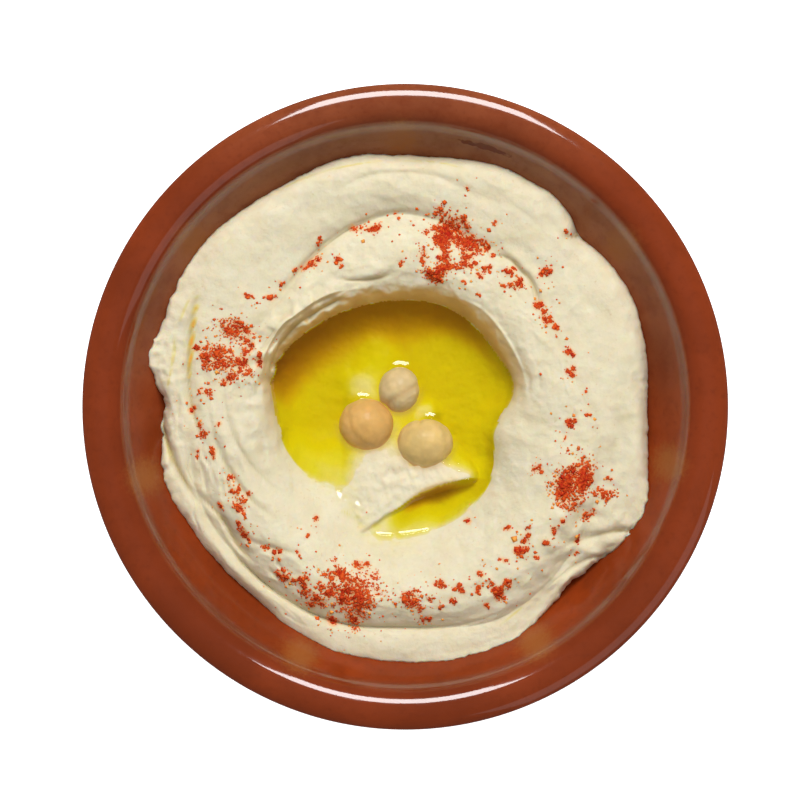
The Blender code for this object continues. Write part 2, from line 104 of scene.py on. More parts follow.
# Marks of the spoon: points (angle, radius, depth), reach to the left and right of the travel.
# A depth below zero raises a thin lip.
STROKES = {
    "main crease": ([(147, 36.4, 0.0), (139, 36.5, 0.5), (130, 37.6, 1.1), (118, 39.6, 1.2), (106, 41.4, 1.0),
                     (95, 42.9, 0.8), (87, 42.6, 0.6), (80, 41.4, 0.0)], 1.1, 2.6),
    "notch": ([(44.4, 55.2, 2.2), (45.6, 52.6, 1.4), (48.0, 50.6, 0.0)], 2.4, 2.4),
    "upper swell": ([(110, 50.0, 0.0), (98, 51.6, 0.45), (84, 51.4, 0.5), (72, 49.4, 0.4),
                     (60, 50.2, 0.4), (48, 50.2, 0.0)], 1.8, 3.4),
    "overlap": ([(61, 39.2, 0.0), (55, 40.7, -0.7), (50, 40.2, -0.8), (45.7, 40.0, -0.8), (41, 39.0, -0.6),
                 (35, 37.4, 0.0)], 3.0, 0.5),
    "under the overlap": ([(61, 38.4, 0.0), (55, 40.0, 1.1), (50, 39.5, 1.3), (45.7, 39.3, 1.3), (41, 38.3, 1.1),
                           (36, 36.8, 0.0)], 0.5, 1.5),
    "right tuck": ([(-28.5, 57.2, 1.6), (-31, 53.4, 1.3), (-35.5, 49.6, 0.9), (-41, 46.5, 0.5), (-47, 45.0, 0.0)],
                   3.0, 1.7),
    "right fold": ([(-36, 56.0, 1.4), (-39, 53.0, 1.0), (-44.5, 51.0, 0.7), (-53, 50.6, 0.0)], 1.8, 1.5),
    "left groove": ([(149, 53.0, 0.0), (158, 50.6, 1.1), (171, 48.4, 1.3), (182, 46.6, 1.2),
                     (193, 44.4, 0.0)], 2.6, 2.2),
    "left tail": ([(-152, 49.6, 0.0), (-162, 51.6, 1.6), (-171, 53.2, 2.2), (-177, 54.4, 2.4)], 1.8, 2.0),
    "torn pocket": ([(-133, 47.6, 0.0), (-140, 48.0, 1.7), (-149, 47.4, 1.7), (-158, 49.8, 0.0)], 1.3, 2.6),
    "outer crease": ([(-58, 50.9, 0.0), (-75, 49.7, 0.5), (-92, 48.8, 0.8), (-108, 50.0, 0.9), (-122, 50.0, 1.0),
                      (-135, 49.9, 1.0), (-147, 49.8, 0.0)], 0.6, 0.9),
    "rake 1": ([(-124, 38.6, 0.0), (-131, 41.6, 0.8), (-142, 46.6, 0.0)], 1.6, 1.4),
    "rake 2": ([(-137, 36.8, 0.0), (-150, 39.6, 0.9), (-166, 41.8, 0.8), (-183, 43.8, 0.0)], 1.9, 1.5),
    "rake 3": ([(-143, 32.4, 0.0), (-157, 35.6, 0.7), (-172, 38.4, 0.6), (-188, 40.6, 0.0)], 1.9, 1.6),
    "well ledge": ([(66, 26.6, 0.0), (52, 27.3, -0.4), (36, 26.9, -0.6), (18, 27.0, -0.4), (0, 27.4, 0.0)],
                   0.8, 1.6),
    "torn lip": ([(176, 31.8, 0.0), (160, 32.8, -0.7), (147, 32.4, -1.1), (139, 31.2, -0.8), (131, 30.5, -1.2),
                  (124, 29.8, -1.0), (116, 28.8, 0.0)], 2.8, 0.8),
    "torn hollow": ([(172, 30.8, 0.0), (158, 30.9, 0.9), (146, 30.2, 1.1), (137, 29.0, 0.9), (126, 28.0, 1.1),
                     (117, 27.6, 0.0)], 1.0, 2.4),
    "upper scar": ([(118, 31.6, 0.0), (106, 29.0, 1.1), (93, 29.4, 0.0)], 1.4, 1.8),
}

# Threads of oil on the hummus: half width, redness, points (angle, radius, strength)
THREADS = [
    (0.27, 0.95, [(172, 48.0, 0.5), (168, 48.4, 1.0), (162, 49.4, 1.0), (157, 50.4, 0.8), (152, 51.6, 0.2)]),
    (0.22, 0.35, [(123, 55.0, 0.1), (116, 55.0, 0.4), (110, 54.7, 0.2), (104, 54.4, 0.5), (95, 54.4, 0.2)]),
    (0.22, 0.35, [(92, 54.2, 0.1), (84, 54.2, 0.4), (78, 54.0, 0.3), (74, 53.6, 0.0)]),
    (0.30, 0.5, [(175, 52.4, 0.5), (172, 52.2, 0.3), (167, 52.2, 0.5), (163, 53.0, 0.1)]),
    (0.25, 0.5, [(159, 52.9, 0.2), (156, 53.0, 0.4), (153, 53.0, 0.1)]),
    (0.30, 0.35, [(-167, 53.0, 0.2), (-170, 53.2, 0.5), (-173, 53.4, 0.3)]),
    (0.25, 0.0, [(-122.0, 27.2, 0.2), (-119.0, 27.0, 0.8), (-116.0, 27.2, 0.2)]),
    (0.25, 0.4, [(-66, 52.4, 0.1), (-62, 51.6, 0.4), (-57, 50.9, 0.1)]),
]
# How strongly painted shade browns the oil beside the well's side, and how far out from it
SHADE = [(180, 0.50), (165, 0.95), (150, 0.95), (120, 0.90), (90, 0.85), (60, 0.85), (45, 0.70), (30, 0.55),
         (15, 0.42), (0, 0.38), (-15, 0.25), (-30, 0.5), (-45, 0.15), (-70, 0.0), (-120, 0.0), (-150, 0.15)]
SHADE_WIDTH = [(180, 4.0), (165, 7.0), (150, 8.5), (120, 7.6), (90, 9.0), (75, 7.4), (60, 5.5), (45, 4.5),
               (30, 3.6), (0, 4.0), (-30, 1.8), (-45, 2.0), (-120, 3.0)]
# Width of the well's side below the shore: small is a steep bank, large a gentle one
BANK = [(180, 2.6), (60, 2.6), (-45, 2.6), (-62, 3.0), (-76, 5.0), (-86, 16.0), (-98, 30.0), (-112, 26.0),
        (-130, 20.0), (-145, 13.0), (-158, 5.0), (-168, 2.8)]

TONGUE_LINE = [(-18.0, -31.5), (-13.0, -29.4), (-8.8, -27.0), (-4.2, -23.7), (-1.0, -22.0), (1.5, -20.1),
               (4.2, -18.5), (6.8, -17.4), (10.7, -16.4), (14.3, -15.9), (18.0, -16.2)]
TONGUE_TOP = [(-18.0, 20.8), (-14.0, 21.9), (-9.0, 22.7), (-3.4, 22.5), (1.5, 22.6), (6.6, 22.7), (11.2, 22.4),
              (13.2, 22.2), (14.6, 21.7), (15.6, 20.4),
              (18.0, 14.0)]
TONGUE_REACH = [(-18.0, 6.0), (-15.5, 9.0), (-13.0, 16.0), (-9.0, 20.0), (-3.4, 19.0), (1.5, 12.5), (6.6, 6.8),
                (11.2, 4.0), (14.0, 2.5), (18.0, 2.0)]
# Rises of the floor under the oil: centre, reach each way, depth of oil left above
MOUNDS = [(-9.7, 4.8, 4.6, 4.3, 2.6), (4.2, -1.2, 3.0, 2.6, 2.4)]
TONGUE_CLIFF = 1.6
WELL_DEPTH = 4.6
BANK_ANGLE = -130.0
BANK_HALF = 30.0
# Wet facets of the spoon's marks on the bank, which catch the light: centre, half length and half
# width, run in degrees
FACETS = [(-14.2, -19.6, 1.2, 0.62, -33.0), (-12.3, -20.8, 1.5, 0.78, -32.0), (-10.1, -22.1, 1.5, 0.70, -29.0),
          (-10.5, -19.9, 1.7, 0.48, -22.0), (-5.9, -23.6, 1.15, 0.42, -27.0), (-8.9, -26.5, 0.6, 0.42, -20.0)]
FACET_FALL = (0.018, 0.344)
FACET_LIFT = 0.3

# Paprika: angle, radius, half spread along the swirl and across it, amount of grains
PAPRIKA = [
    (165, 41.5, 2.6, 3.0, 330), (164, 37, 3.6, 1.3, 160), (156, 40.5, 2.3, 3.6, 300), (163.5, 47.5, 1.2, 1.0, 40),
    (163, 33.4, 2.2, 0.9, 60), (174, 44, 2.2, 0.8, 45), (170.5, 38.6, 2.0, 1.4, 70), (167, 45.3, 3.0, 1.0, 60),
    (144.5, 41, 0.8, 1.2, 30), (141, 38, 1.6, 0.7, 45), (135.5, 38.4, 1.0, 0.5, 18), (129.5, 38.6, 1.6, 0.5, 24),
    (123.5, 37.8, 2.6, 0.8, 90), (117, 40.3, 1.0, 1.0, 24), (114.5, 35.8, 1.4, 0.8, 45), (105.5, 40.8, 2.2, 0.6, 45),
    (100, 39.8, 2.4, 0.8, 90), (92.5, 42.6, 0.8, 0.7, 18), (91.5, 31.8, 1.0, 0.6, 18),
    (76, 39.2, 4.2, 1.9, 520), (68, 38.8, 3.6, 1.3, 330), (79.5, 43, 1.2, 1.2, 60), (74, 43.2, 2.6, 1.0, 70),
    (66.5, 35, 2.4, 0.9, 120), (75, 35.8, 1.6, 1.4, 80), (73.5, 32.6, 2.6, 1.2, 190), (76.5, 29.6, 2.8, 1.0, 150),
    (84, 34, 3.0, 2.2, 60), (61, 39, 1.4, 0.9, 40), (64.7, 44.8, 0.8, 0.8, 16), (58, 35.2, 1.6, 1.1, 36),
    (52, 38.2, 3.0, 0.9, 70), (47, 37.6, 1.0, 0.9, 60), (44, 43.2, 1.1, 1.4, 80), (50, 34.6, 2.4, 0.5, 30),
    (59.5, 33.2, 1.8, 0.6, 30), (62, 29.5, 3.0, 0.7, 24), (37, 37.3, 1.6, 1.1, 110), (31.5, 36.3, 1.5, 0.6, 60),
    (27.5, 38, 1.2, 0.7, 30), (19, 38, 1.8, 0.8, 50), (11.5, 36.6, 2.4, 1.3, 60), (4.8, 39.6, 0.6, 0.4, 8),
    (47.5, 52.2, 0.5, 0.5, 12), (74.3, 50.6, 0.9, 0.6, 10), (-2.5, 39.7, 0.7, 0.5, 14), (-6, 36.1, 1.6, 1.1, 75),
    (-14, 36, 3.4, 0.6, 16), (-19.3, 47.6, 1.0, 0.5, 16), (-23.5, 46.8, 1.4, 1.6, 90), (-22.5, 42.4, 4.2, 1.0, 420),
    (-25, 38.8, 4.6, 2.2, 520), (-26, 33.2, 2.8, 0.9, 50), (-29.5, 46.6, 1.6, 1.0, 50), (-31, 42, 1.6, 1.8, 70),
    (-38, 47.6, 0.6, 0.9, 26), (-41, 49.2, 0.7, 0.5, 12), (-36.5, 42.2, 0.9, 0.6, 24), (-40, 42.8, 0.9, 1.0, 30),
    (-45, 42.6, 1.0, 0.8, 30), (-49.8, 44, 0.7, 0.5, 20), (-51.5, 40.8, 1.6, 0.9, 100), (-47.5, 39, 1.6, 0.7, 36),
    (-44.5, 37.8, 1.8, 0.5, 16), (-57, 39.8, 1.6, 1.0, 26), (-59.5, 43.8, 1.6, 1.3, 50), (-63.4, 44.6, 1.3, 1.8, 150),
    (-68, 42.8, 0.9, 0.8, 40), (-67.7, 47.3, 0.7, 1.0, 20), (-65, 40.2, 1.2, 0.5, 26), (-49, 34.5, 1.6, 0.7, 24),
    (-61.5, 28.8, 2.2, 0.4, 30), (-73.5, 42.1, 1.4, 0.7, 60), (-77, 43.3, 0.9, 0.8, 36), (-80, 44.5, 0.8, 0.6, 16),
    (-79, 39.2, 1.4, 1.3, 60), (-82.7, 47, 0.7, 0.5, 16), (-88, 42.8, 3.4, 1.6, 190), (-86, 46, 1.6, 1.4, 30),
    (-103, 42.6, 3.2, 3.4, 480), (-108, 43.8, 1.4, 1.5, 130), (-108.5, 49.8, 1.3, 0.8, 80), (-103.5, 48.6, 1.8, 1.4, 80),
    (-115, 47, 2.2, 1.0, 130), (-113.5, 43.2, 1.8, 1.2, 110), (-112, 39.8, 3.2, 1.2, 200), (-106, 36, 2.0, 0.9, 50),
    (-108, 45, 8.0, 5.0, 160), (-121, 44.5, 1.6, 1.0, 90), (-126, 45.9, 1.5, 1.0, 90), (-131.5, 42.8, 1.4, 1.0, 50),
    (-126.5, 40, 1.0, 0.5, 18), (-128, 33.8, 1.2, 1.3, 36), (-141.5, 45.2, 1.8, 0.8, 110), (-134, 44, 1.4, 0.6, 20),
    (-147.5, 43, 2.2, 0.6, 80), (-152.5, 46, 1.2, 0.6, 30), (-152.5, 41.4, 1.5, 1.2, 90), (-157.5, 41.8, 1.6, 0.9, 24),
    (-166, 43, 2.2, 0.7, 40), (-167.5, 47, 1.0, 0.4, 20), (-172.5, 44.6, 1.6, 0.9, 50), (-174.5, 41.2, 0.9, 0.4, 18),
    (-179.5, 46.6, 1.2, 1.0, 50),
]


# ---------------------------------------------------------------- curves and noise
def smooth(at, value, x):
    """Reads a smooth curve through the points (at, value): a cubic between each two points."""
    slope = np.gradient(value, at)
    x = np.clip(x, at[0], at[-1])
    i = np.clip(np.searchsorted(at, x, side="right") - 1, 0, len(at) - 2)
    width = at[i + 1] - at[i]
    t = (x - at[i]) / width
    return ((2 * t**3 - 3 * t**2 + 1) * value[i] + (t**3 - 2 * t**2 + t) * width * slope[i]
            + (3 * t**2 - 2 * t**3) * value[i + 1] + (t**3 - t**2) * width * slope[i + 1])


def across(knots, x):
    """Reads an open smooth curve through (x, value) knots, level beyond its ends."""
    at, value = np.array(knots, float).T
    return smooth(at, value, x)


def around(knots, angle):
    """Reads a closed smooth curve through (angle, value) knots."""
    at, value = np.array(sorted((a % 360.0, v) for a, v in knots)).T
    at = np.concatenate([at[-3:] - 360.0, at, at[:3] + 360.0])
    value = np.concatenate([value[-3:], value, value[:3]])
    return smooth(at, value, np.mod(angle, 360.0))


def turn_off(angle, from_angle):
    """The turn from one angle to another, between -180 and 180."""
    return (angle - from_angle + 180.0) % 360.0 - 180.0


def drawn(points, steps=7):
    """A smooth line through points with any number of columns, by Catmull-Rom."""
    points = np.array(points, float)
    points = np.vstack([2 * points[0] - points[1], points, 2 * points[-1] - points[-2]])
    t = np.linspace(0.0, 1.0, steps, endpoint=False)[:, None]
    line = []
    for a, b, c, d in zip(points[:-3], points[1:-2], points[2:-1], points[3:]):
        line.append(0.5 * (2 * b + (c - a) * t + (2 * a - 5 * b + 4 * c - d) * t**2
                           + (3 * b - a - 3 * c + d) * t**3))
    return np.vstack(line + [points[-2][None]])


def beside(x, y, line):
    """For points x, y: signed distance to a line (left of its travel is positive) and its value there."""
    nearest = np.full(x.shape, np.inf)
    side = np.ones(x.shape)
    value = np.zeros(x.shape)
    for start, end in zip(line[:-1], line[1:]):
        run = end[:2] - start[:2]
        t = np.clip(((x - start[0]) * run[0] + (y - start[1]) * run[1]) / (run @ run), 0.0, 1.0)
        dx = x - start[0] - t * run[0]
        dy = y - start[1] - t * run[1]
        away = np.hypot(dx, dy)
        closer = away < nearest
        nearest = np.where(closer, away, nearest)
        side = np.where(closer, np.where(run[0] * dy - run[1] * dx < 0.0, -1.0, 1.0), side)
        value = np.where(closer, start[2] + t * (end[2] - start[2]), value)
    return nearest * side, value


def from_polar(points):
    """Turns (angle, radius, ...) rows into (x, y, ...) rows."""
    points = np.array(points, float)
    angle = np.radians(points[:, 0])
    return np.column_stack([points[:, 1] * np.cos(angle), points[:, 1] * np.sin(angle), points[:, 2:]])


def softest(a, b, blend):
    """The higher of two heights, with the crease between them filled over a width of blend."""
    t = np.clip(0.5 + 0.5 * (a - b) / blend, 0.0, 1.0)
    return b + (a - b) * t + blend * t * (1.0 - t)


LATTICE = np.random.default_rng(SEED).permutation(256)
LEANS = np.random.default_rng(SEED + 1).normal(size=(256, 3))
LEANS /= np.linalg.norm(LEANS, axis=1)[:, None]


def noise(x, y, z):
    """Smooth noise in space, about -1 to 1: slopes drawn at whole-number points, blended between them."""
    whole = [np.floor(c).astype(int) for c in (x, y, z)]
    part = [c - w for c, w in zip((x, y, z), whole)]
    ease = [p**3 * (p * (p * 6.0 - 15.0) + 10.0) for p in part]
    total = 0.0
    for corner in np.ndindex(2, 2, 2):
        key = LATTICE[(whole[0] + corner[0]) & 255]
        key = LATTICE[(key + whole[1] + corner[1]) & 255]
        lean = LEANS[LATTICE[(key + whole[2] + corner[2]) & 255]]
        share = 1.0
        for axis in range(3):
            share = share * (ease[axis] if corner[axis] else 1.0 - ease[axis])
        total = total + share * sum(lean[..., axis] * (part[axis] - corner[axis]) for axis in range(3))
    return 1.6 * total


# ---------------------------------------------------------------- shapes
def inner_wall():
    """The bowl's inside from the arris down to the middle of the floor, as (radius, height)."""
    return [(ARRIS_RADIUS, ARRIS_Z), (58.8, 30.5), (56.9, 27.4), (55.0, 24.2), (52.9, 20.6),
            (50.4, 16.6), (47.0, 12.6), (40.5, 8.5), (24.0, FLOOR_Z), (0.0, FLOOR_Z)]


def wall_height(radius):
    """Height of the bowl's inside at a radius."""
    r, z = np.array(inner_wall()[::-1]).T
    return np.interp(radius, r, z)


def ragged_edge(angle):
    """Radius where the hummus meets the bowl: its ring with lumps a few millimetres long."""
    east, north = np.cos(np.radians(angle)), np.sin(np.radians(angle))
    rough = (0.28 + 0.6 * np.exp(-((turn_off(angle, 176.0) / 20.0) ** 2))
             + 0.55 * np.exp(-((turn_off(angle, -38.0) / 24.0) ** 2)))
    zero = np.zeros_like(east)
    return (around(EDGE, angle) + rough * (0.8 * noise(9.0 * east, 9.0 * north, zero)
                                           + 0.5 * noise(30.0 * east, 30.0 * north, zero + 4.0)
                                           + 0.25 * noise(80.0 * east, 80.0 * north, zero + 9.0)))


def hummus_form(x, y):
    """The hummus's lobes, folds, spoon marks and tongue: the higher of the swirl and the tongue.

    From the middle outwards the swirl falls away under the oil, rises by a power of a quarter sine
    from the shore to the ridge, drops by a parabola to the fold, climbs by another to the lip and turns
    down to the wall in a quarter round.
    """
    radius = np.hypot(x, y)
    angle = np.degrees(np.arctan2(y, x))
    shore, ridge, fold, lip = (around(knots, angle) for knots in (SHORE, RIDGE, FOLD, LIP))
    edge = ragged_edge(angle)
    ridge_z, fold_z, lip_z = (around(knots, angle) for knots in (RIDGE_Z, FOLD_Z, LIP_Z))
    edge_z = wall_height(edge)
    bank = np.exp(-((turn_off(angle, BANK_ANGLE) / BANK_HALF) ** 2))
    level = np.zeros_like(x)
    torn = np.exp(-((turn_off(angle, 148.0) / 34.0) ** 2))
    meander = noise(x / 3.4, y / 3.4, level + 80.0) + (0.12 + 0.2 * torn) * noise(x / 1.5, y / 1.5, level + 84.0)
    calm = np.maximum(bank, np.exp(-((turn_off(angle, -92.0) / 20.0) ** 2)))
    meander = meander * (0.32 + 0.8 * torn) * (1.0 - 0.8 * calm) * np.exp(-(((radius - shore) / 6.0) ** 2))
    from_shore = radius - shore + meander
    under = np.maximum(-from_shore, 0.0)
    well = OIL_Z - WELL_DEPTH * (1.0 - np.exp(-under / around(BANK, angle)))
    for centre_x, centre_y, reach_x, reach_y, height in MOUNDS:
        out = np.hypot((x - centre_x) / reach_x, (y - centre_y) / reach_y) + 0.15 * noise(x / 2.6, y / 2.6, level + 70.0)
        well = well + np.maximum(OIL_Z - height - well, 0.0) * np.exp(-np.abs(out) ** 2.6) * (under > 0.0)
    t = np.clip(from_shore / (ridge - shore), 0.0, 1.0)
    rise = OIL_Z + (ridge_z - OIL_Z) * np.sin(0.5 * np.pi * t) ** around(STEEP, angle)
    t = np.clip((radius - ridge) / (fold - ridge), 0.0, 1.0)
    inner_lobe = ridge_z - (ridge_z - fold_z) * t**2
    t = np.clip((radius - fold) / (lip - fold), 0.0, 1.0)
    outer_lobe = lip_z - (lip_z - fold_z) * (1.0 - t) ** 2
    t = np.clip((radius - lip) / (edge - lip), 0.0, 1.0)
    brow = edge_z + (lip_z - edge_z) * (1.0 - t**2) ** around(BROW, angle)
    height = np.select([from_shore < 0.0, radius < ridge, radius < fold, radius < lip],
                       [well, rise, inner_lobe, outer_lobe], brow)
    for points, left, right in STROKES.values():
        away, depth = beside(x, y, drawn(from_polar(points)))
        reach = np.where(away > 0.0, left, right)
        height = height - depth * np.clip(1.0 - np.abs(away) / reach, 0.0, 1.0) ** 2
    away = (y - across(TONGUE_LINE, x)) * 0.9
    fall = np.where(away > 0.0, 1.9 * (np.abs(away) / across(TONGUE_REACH, x)) ** 1.7,
                    4.5 * (np.abs(away) / TONGUE_CLIFF) ** 1.3)
    tongue = across(TONGUE_TOP, x) - np.minimum(fall, 12.0)
    return softest(height, tongue, 1.4)


def bump_of(value, low, high):
    """0 below low, 1 above high, with a smooth step between."""
    t = np.clip((value - low) / (high - low), 0.0, 1.0)
    return t * t * (3.0 - 2.0 * t)


def hummus_grain(x, y):
    """Unevenness of the hummus: broad swells, creases and thin flaps drawn out along the swirl, and lumps.

    A crease follows the line where a noise passes zero; a flap is a step of height along such a line.
    """
    radius = np.hypot(x, y)
    angle = np.arctan2(y, x)
    degrees = np.degrees(angle)
    level = np.zeros_like(x)
    shore = around(SHORE, degrees)
    warp = noise(x / 5.0, y / 5.0, level + 1.5)
    spiral = radius + 3.5 * np.sin(angle + 0.6) + 1.3 * warp
    east, north = np.cos(angle + 0.03 * warp), np.sin(angle + 0.03 * warp)
    dry = bump_of(radius - shore, -0.5, 2.5)
    left = np.exp(-((turn_off(degrees, -148.0) / 42.0) ** 2))
    outer = bump_of(radius, 37.0, 44.0)
    swell = 0.50 * noise(x / 8.5, y / 8.5, level) + 0.20 * noise(x / 4.4, y / 4.4, level + 5.0)
    draw = noise(3.4 * east, 3.4 * north, spiral / 2.8)
    fine_draw = noise(6.5 * east, 6.5 * north, spiral / 1.25 + 20.0)
    patch = bump_of(noise(x / 10.0, y / 10.0, level + 8.0), 0.0, 0.5)
    strip = bump_of(radius, 49.3, 51.0) * np.exp(-((turn_off(degrees, -118.0) / 52.0) ** 4))
    crease = np.exp(-((draw / 0.08) ** 2)) * patch * (0.16 + 0.5 * left * outer)
    flap = (0.07 + 0.13 * left * outer) * np.tanh(noise(4.6 * east, 4.6 * north, spiral / 3.0 + 40.0) / 0.12)
    torn = noise(x / 4.2, y / 4.2, level + 12.0) + 0.3 * noise(x / 2.0, y / 2.0, level + 15.0)
    upper_left = np.exp(-((turn_off(degrees, 146.0) / 34.0) ** 2))
    brim = np.exp(-(((radius - shore - 4.6) / 3.2) ** 2)) * (0.2 + 0.95 * upper_left)
    lower_right = np.exp(-((turn_off(degrees, -42.0) / 18.0) ** 2)) * outer
    lumps = 0.20 * noise(x / 2.3, y / 2.3, level + 3.0) + 0.09 * noise(x / 1.1, y / 1.1, level + 7.0)
    clods = 0.5 * np.tanh(noise(x / 3.6, y / 3.6, level + 33.0) / 0.35) * lower_right
    grit = np.exp(-((turn_off(degrees, 176.0) / 20.0) ** 2)) * bump_of(radius, 47.0, 52.0)
    rough = 0.5 * noise(x / 1.3, y / 1.3, level + 30.0) * grit
    dragged = (0.11 + 0.13 * left) * draw + (0.04 + 0.05 * left) * fine_draw + flap - crease
    under = 0.22 * noise(x / 3.2, y / 3.2, level + 50.0) + 0.09 * noise(x / 1.3, y / 1.3, level + 53.0)
    bank = np.exp(-((turn_off(degrees, BANK_ANGLE) / 18.0) ** 2)) * bump_of(-radius, -31.0, -27.0)
    low_shore = np.exp(-((turn_off(degrees, -92.0) / 20.0) ** 2)) * np.exp(-(((radius - shore) / 2.5) ** 2))
    hold = dry * (1.0 - 0.7 * bank) * (1.0 - 0.6 * strip) * (1.0 - 0.8 * low_shore)
    behind = (y - across(TONGUE_LINE, x)) * 0.9
    on_tongue = np.exp(-(((behind - 4.5) / 6.0) ** 2)) * bump_of(x, -13.0, -9.0) * bump_of(-x, -14.0, -11.0)
    under = under * (1.0 + 1.3 * on_tongue) + 0.16 * on_tongue * np.tanh(noise(x / 2.0, y / 2.0, level + 57.0) / 0.2)
    clumps = 0.65 * np.tanh(torn / 0.3) * brim
    return (swell + dragged + rough + clods + lumps + clumps) * hold + under * (1.0 - dry)


def hummus_surface(x, y):
    """Height of the finished hummus: its form and its unevenness, which dies away at the wall."""
    radius = np.hypot(x, y)
    edge = ragged_edge(np.degrees(np.arctan2(y, x)))
    hold = np.clip((edge - radius) / 1.2, 0.0, 1.0)
    height = hummus_form(x, y) + hummus_grain(x, y) * hold
    for facet in FACETS:
        share = on_facet(x, y, facet)
        middle = [np.array([c]) for c in facet[:2]]
        above = np.maximum(hummus_form(*middle), OIL_Z + FACET_LIFT)
        plane = above - FACET_FALL[0] * (x - facet[0]) - FACET_FALL[1] * (y - facet[1])
        height = height + share * (plane - height)
    return height


def on_facet(x, y, facet):
    """How much a place lies on a wet facet, 0 to 1: a flat-topped bell along and across it, with wavy sides."""
    centre_x, centre_y, length, width, run = facet
    east, north = math.cos(math.radians(run)), math.sin(math.radians(run))
    along = (x - centre_x) * east + (y - centre_y) * north
    off = (y - centre_y) * east - (x - centre_x) * north + 0.22 * noise(x / 1.3, y / 1.3, 90.0 + 0.0 * x)
    return np.exp(-((along / length) ** 4) - (off / width) ** 4)


# ---------------------------------------------------------------- meshes
def make_mesh(name, points, quads, triangles=None):
    """A smooth-shaded mesh object from arrays of points in millimetres, quads and triangles."""
    triangles = np.zeros((0, 3), int) if triangles is None else triangles
    corners = np.concatenate([quads.ravel(), triangles.ravel()])
    starts = np.concatenate([4 * np.arange(len(quads)), 4 * len(quads) + 3 * np.arange(len(triangles))])
    mesh = bpy.data.meshes.new(name)
    mesh.vertices.add(len(points))
    mesh.vertices.foreach_set("co", (points * MM).ravel())
    mesh.loops.add(len(corners))
    mesh.loops.foreach_set("vertex_index", corners)
    mesh.polygons.add(len(starts))
    mesh.polygons.foreach_set("loop_start", starts)
    mesh.update(calc_edges=True)
    mesh.validate()
    mesh.shade_smooth()
    piece = bpy.data.objects.new(name, mesh)
    bpy.context.scene.collection.objects.link(piece)
    return piece


def closed_rings(name, rings, first, last):
    """A closed surface from rings (rows, columns, 3), each joined to the next and shut by two points."""
    rows, columns = rings.shape[:2]
    index = 1 + np.arange(rows * columns).reshape(rows, columns)
    after = np.roll(index, -1, axis=1)
    quads = np.stack([index[:-1], index[1:], after[1:], after[:-1]], axis=-1).reshape(-1, 4)
    end = rows * columns + 1
    start_fan = np.stack([np.zeros(columns, int), index[0], after[0]], axis=-1)
    end_fan = np.stack([np.full(columns, end), after[-1], index[-1]], axis=-1)
    points = np.vstack([[first], rings.reshape(-1, 3), [last]])
    return make_mesh(name, points, quads, np.vstack([start_fan, end_fan]))


def set_value(piece, name, value):
    """Stores one number for each point of a piece, for its material to read."""
    attribute = piece.data.attributes.new(name, "FLOAT", "POINT")
    attribute.data.foreach_set("value", np.asarray(value, np.float32).ravel())


def settle(piece, material, slot, *nodes):
    """Gives a piece its material, its body and the solids it replaces. The slot it takes its finish from is not used.
    """
    piece.data.materials.append(material)
    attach(piece, "root")
    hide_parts(*nodes)


# ---------------------------------------------------------------- materials
class Nodes:
    """A material's node tree with short ways to add and join its nodes."""

    def __init__(self, name):
        self.material = bpy.data.materials.new(name)
        self.material.use_nodes = True
        self.tree = self.material.node_tree
        self.shader = self.tree.nodes["Principled BSDF"]

    def add(self, kind, inputs=None, **settings):
        node = self.tree.nodes.new(kind)
        for key, value in settings.items():
            setattr(node, key, value)
        for key, value in (inputs or {}).items():
            if hasattr(value, "is_output"):
                self.tree.links.new(value, node.inputs[key])
            else:
                node.inputs[key].default_value = value
        return node

    def place(self):
        """Object coordinates in millimetres."""
        coordinates = self.add("ShaderNodeTexCoord")
        scale = self.add("ShaderNodeMapping", {"Vector": coordinates.outputs["Object"], "Scale": (1 / MM,) * 3})
        return scale.outputs["Vector"]

    def grain(self, size, detail=3.0, stretch=(1.0, 1.0, 1.0), roughness=0.5, shift=0.0):
        """Noise whose lumps are about size millimetres across."""
        scale = self.add("ShaderNodeMapping", {"Vector": self.place(), "Location": (shift,) * 3,
                                               "Scale": tuple(s / size for s in stretch)})
        node = self.add("ShaderNodeTexNoise", {"Vector": scale.outputs["Vector"], "Scale": 1.0,
                                               "Detail": detail, "Roughness": roughness})
        return node.outputs["Fac"]

    def value(self, name):
        return self.add("ShaderNodeAttribute", attribute_name=name).outputs["Fac"]

    def sum(self, operation, first, second, clamp=False):
        return self.add("ShaderNodeMath", {0: first, 1: second}, operation=operation, use_clamp=clamp).outputs[0]

    def range(self, value, low, high, to_low=0.0, to_high=1.0):
        node = self.add("ShaderNodeMapRange", {"Value": value, "From Min": low, "From Max": high,
                                               "To Min": to_low, "To Max": to_high}, interpolation_type="SMOOTHSTEP")
        return node.outputs["Result"]

    def mix(self, share, first, second, blend="MIX"):
        node = self.add("ShaderNodeMix", {0: share, 6: first, 7: second}, data_type="RGBA", blend_type=blend)
        return node.outputs[2]

    def bump(self, height, distance, strength=1.0, under=None):
        inputs = {"Height": height, "Distance": distance * MM, "Strength": strength}
        if under is not None:
            inputs["Normal"] = under
        return self.add("ShaderNodeBump", inputs).outputs["Normal"]

    def finish(self, **sockets):
        for key, value in sockets.items():
            socket = self.shader.inputs[key.replace("_", " ")]
            if hasattr(value, "is_output"):
                self.tree.links.new(value, socket)
            else:
                socket.default_value = value
        return self.material


# Colours through the oil's depth in millimetres; the entries past 4.6 mm, the well's depth, are browns of painted
# shade.
SOAK = [(0.0, (1.0, 1.0, 1.0)), (0.15, (0.97, 0.945, 0.66)), (0.6, (0.93, 0.895, 0.24)), (1.3, (0.88, 0.83, 0.04)),
        (2.6, (0.84, 0.77, 0.0)), (4.6, (0.80, 0.69, 0.0)),
        (5.7, (0.73, 0.51, 0.0)), (6.8, (0.60, 0.345, 0.0)), (9.0, (0.43, 0.150, 0.0))]


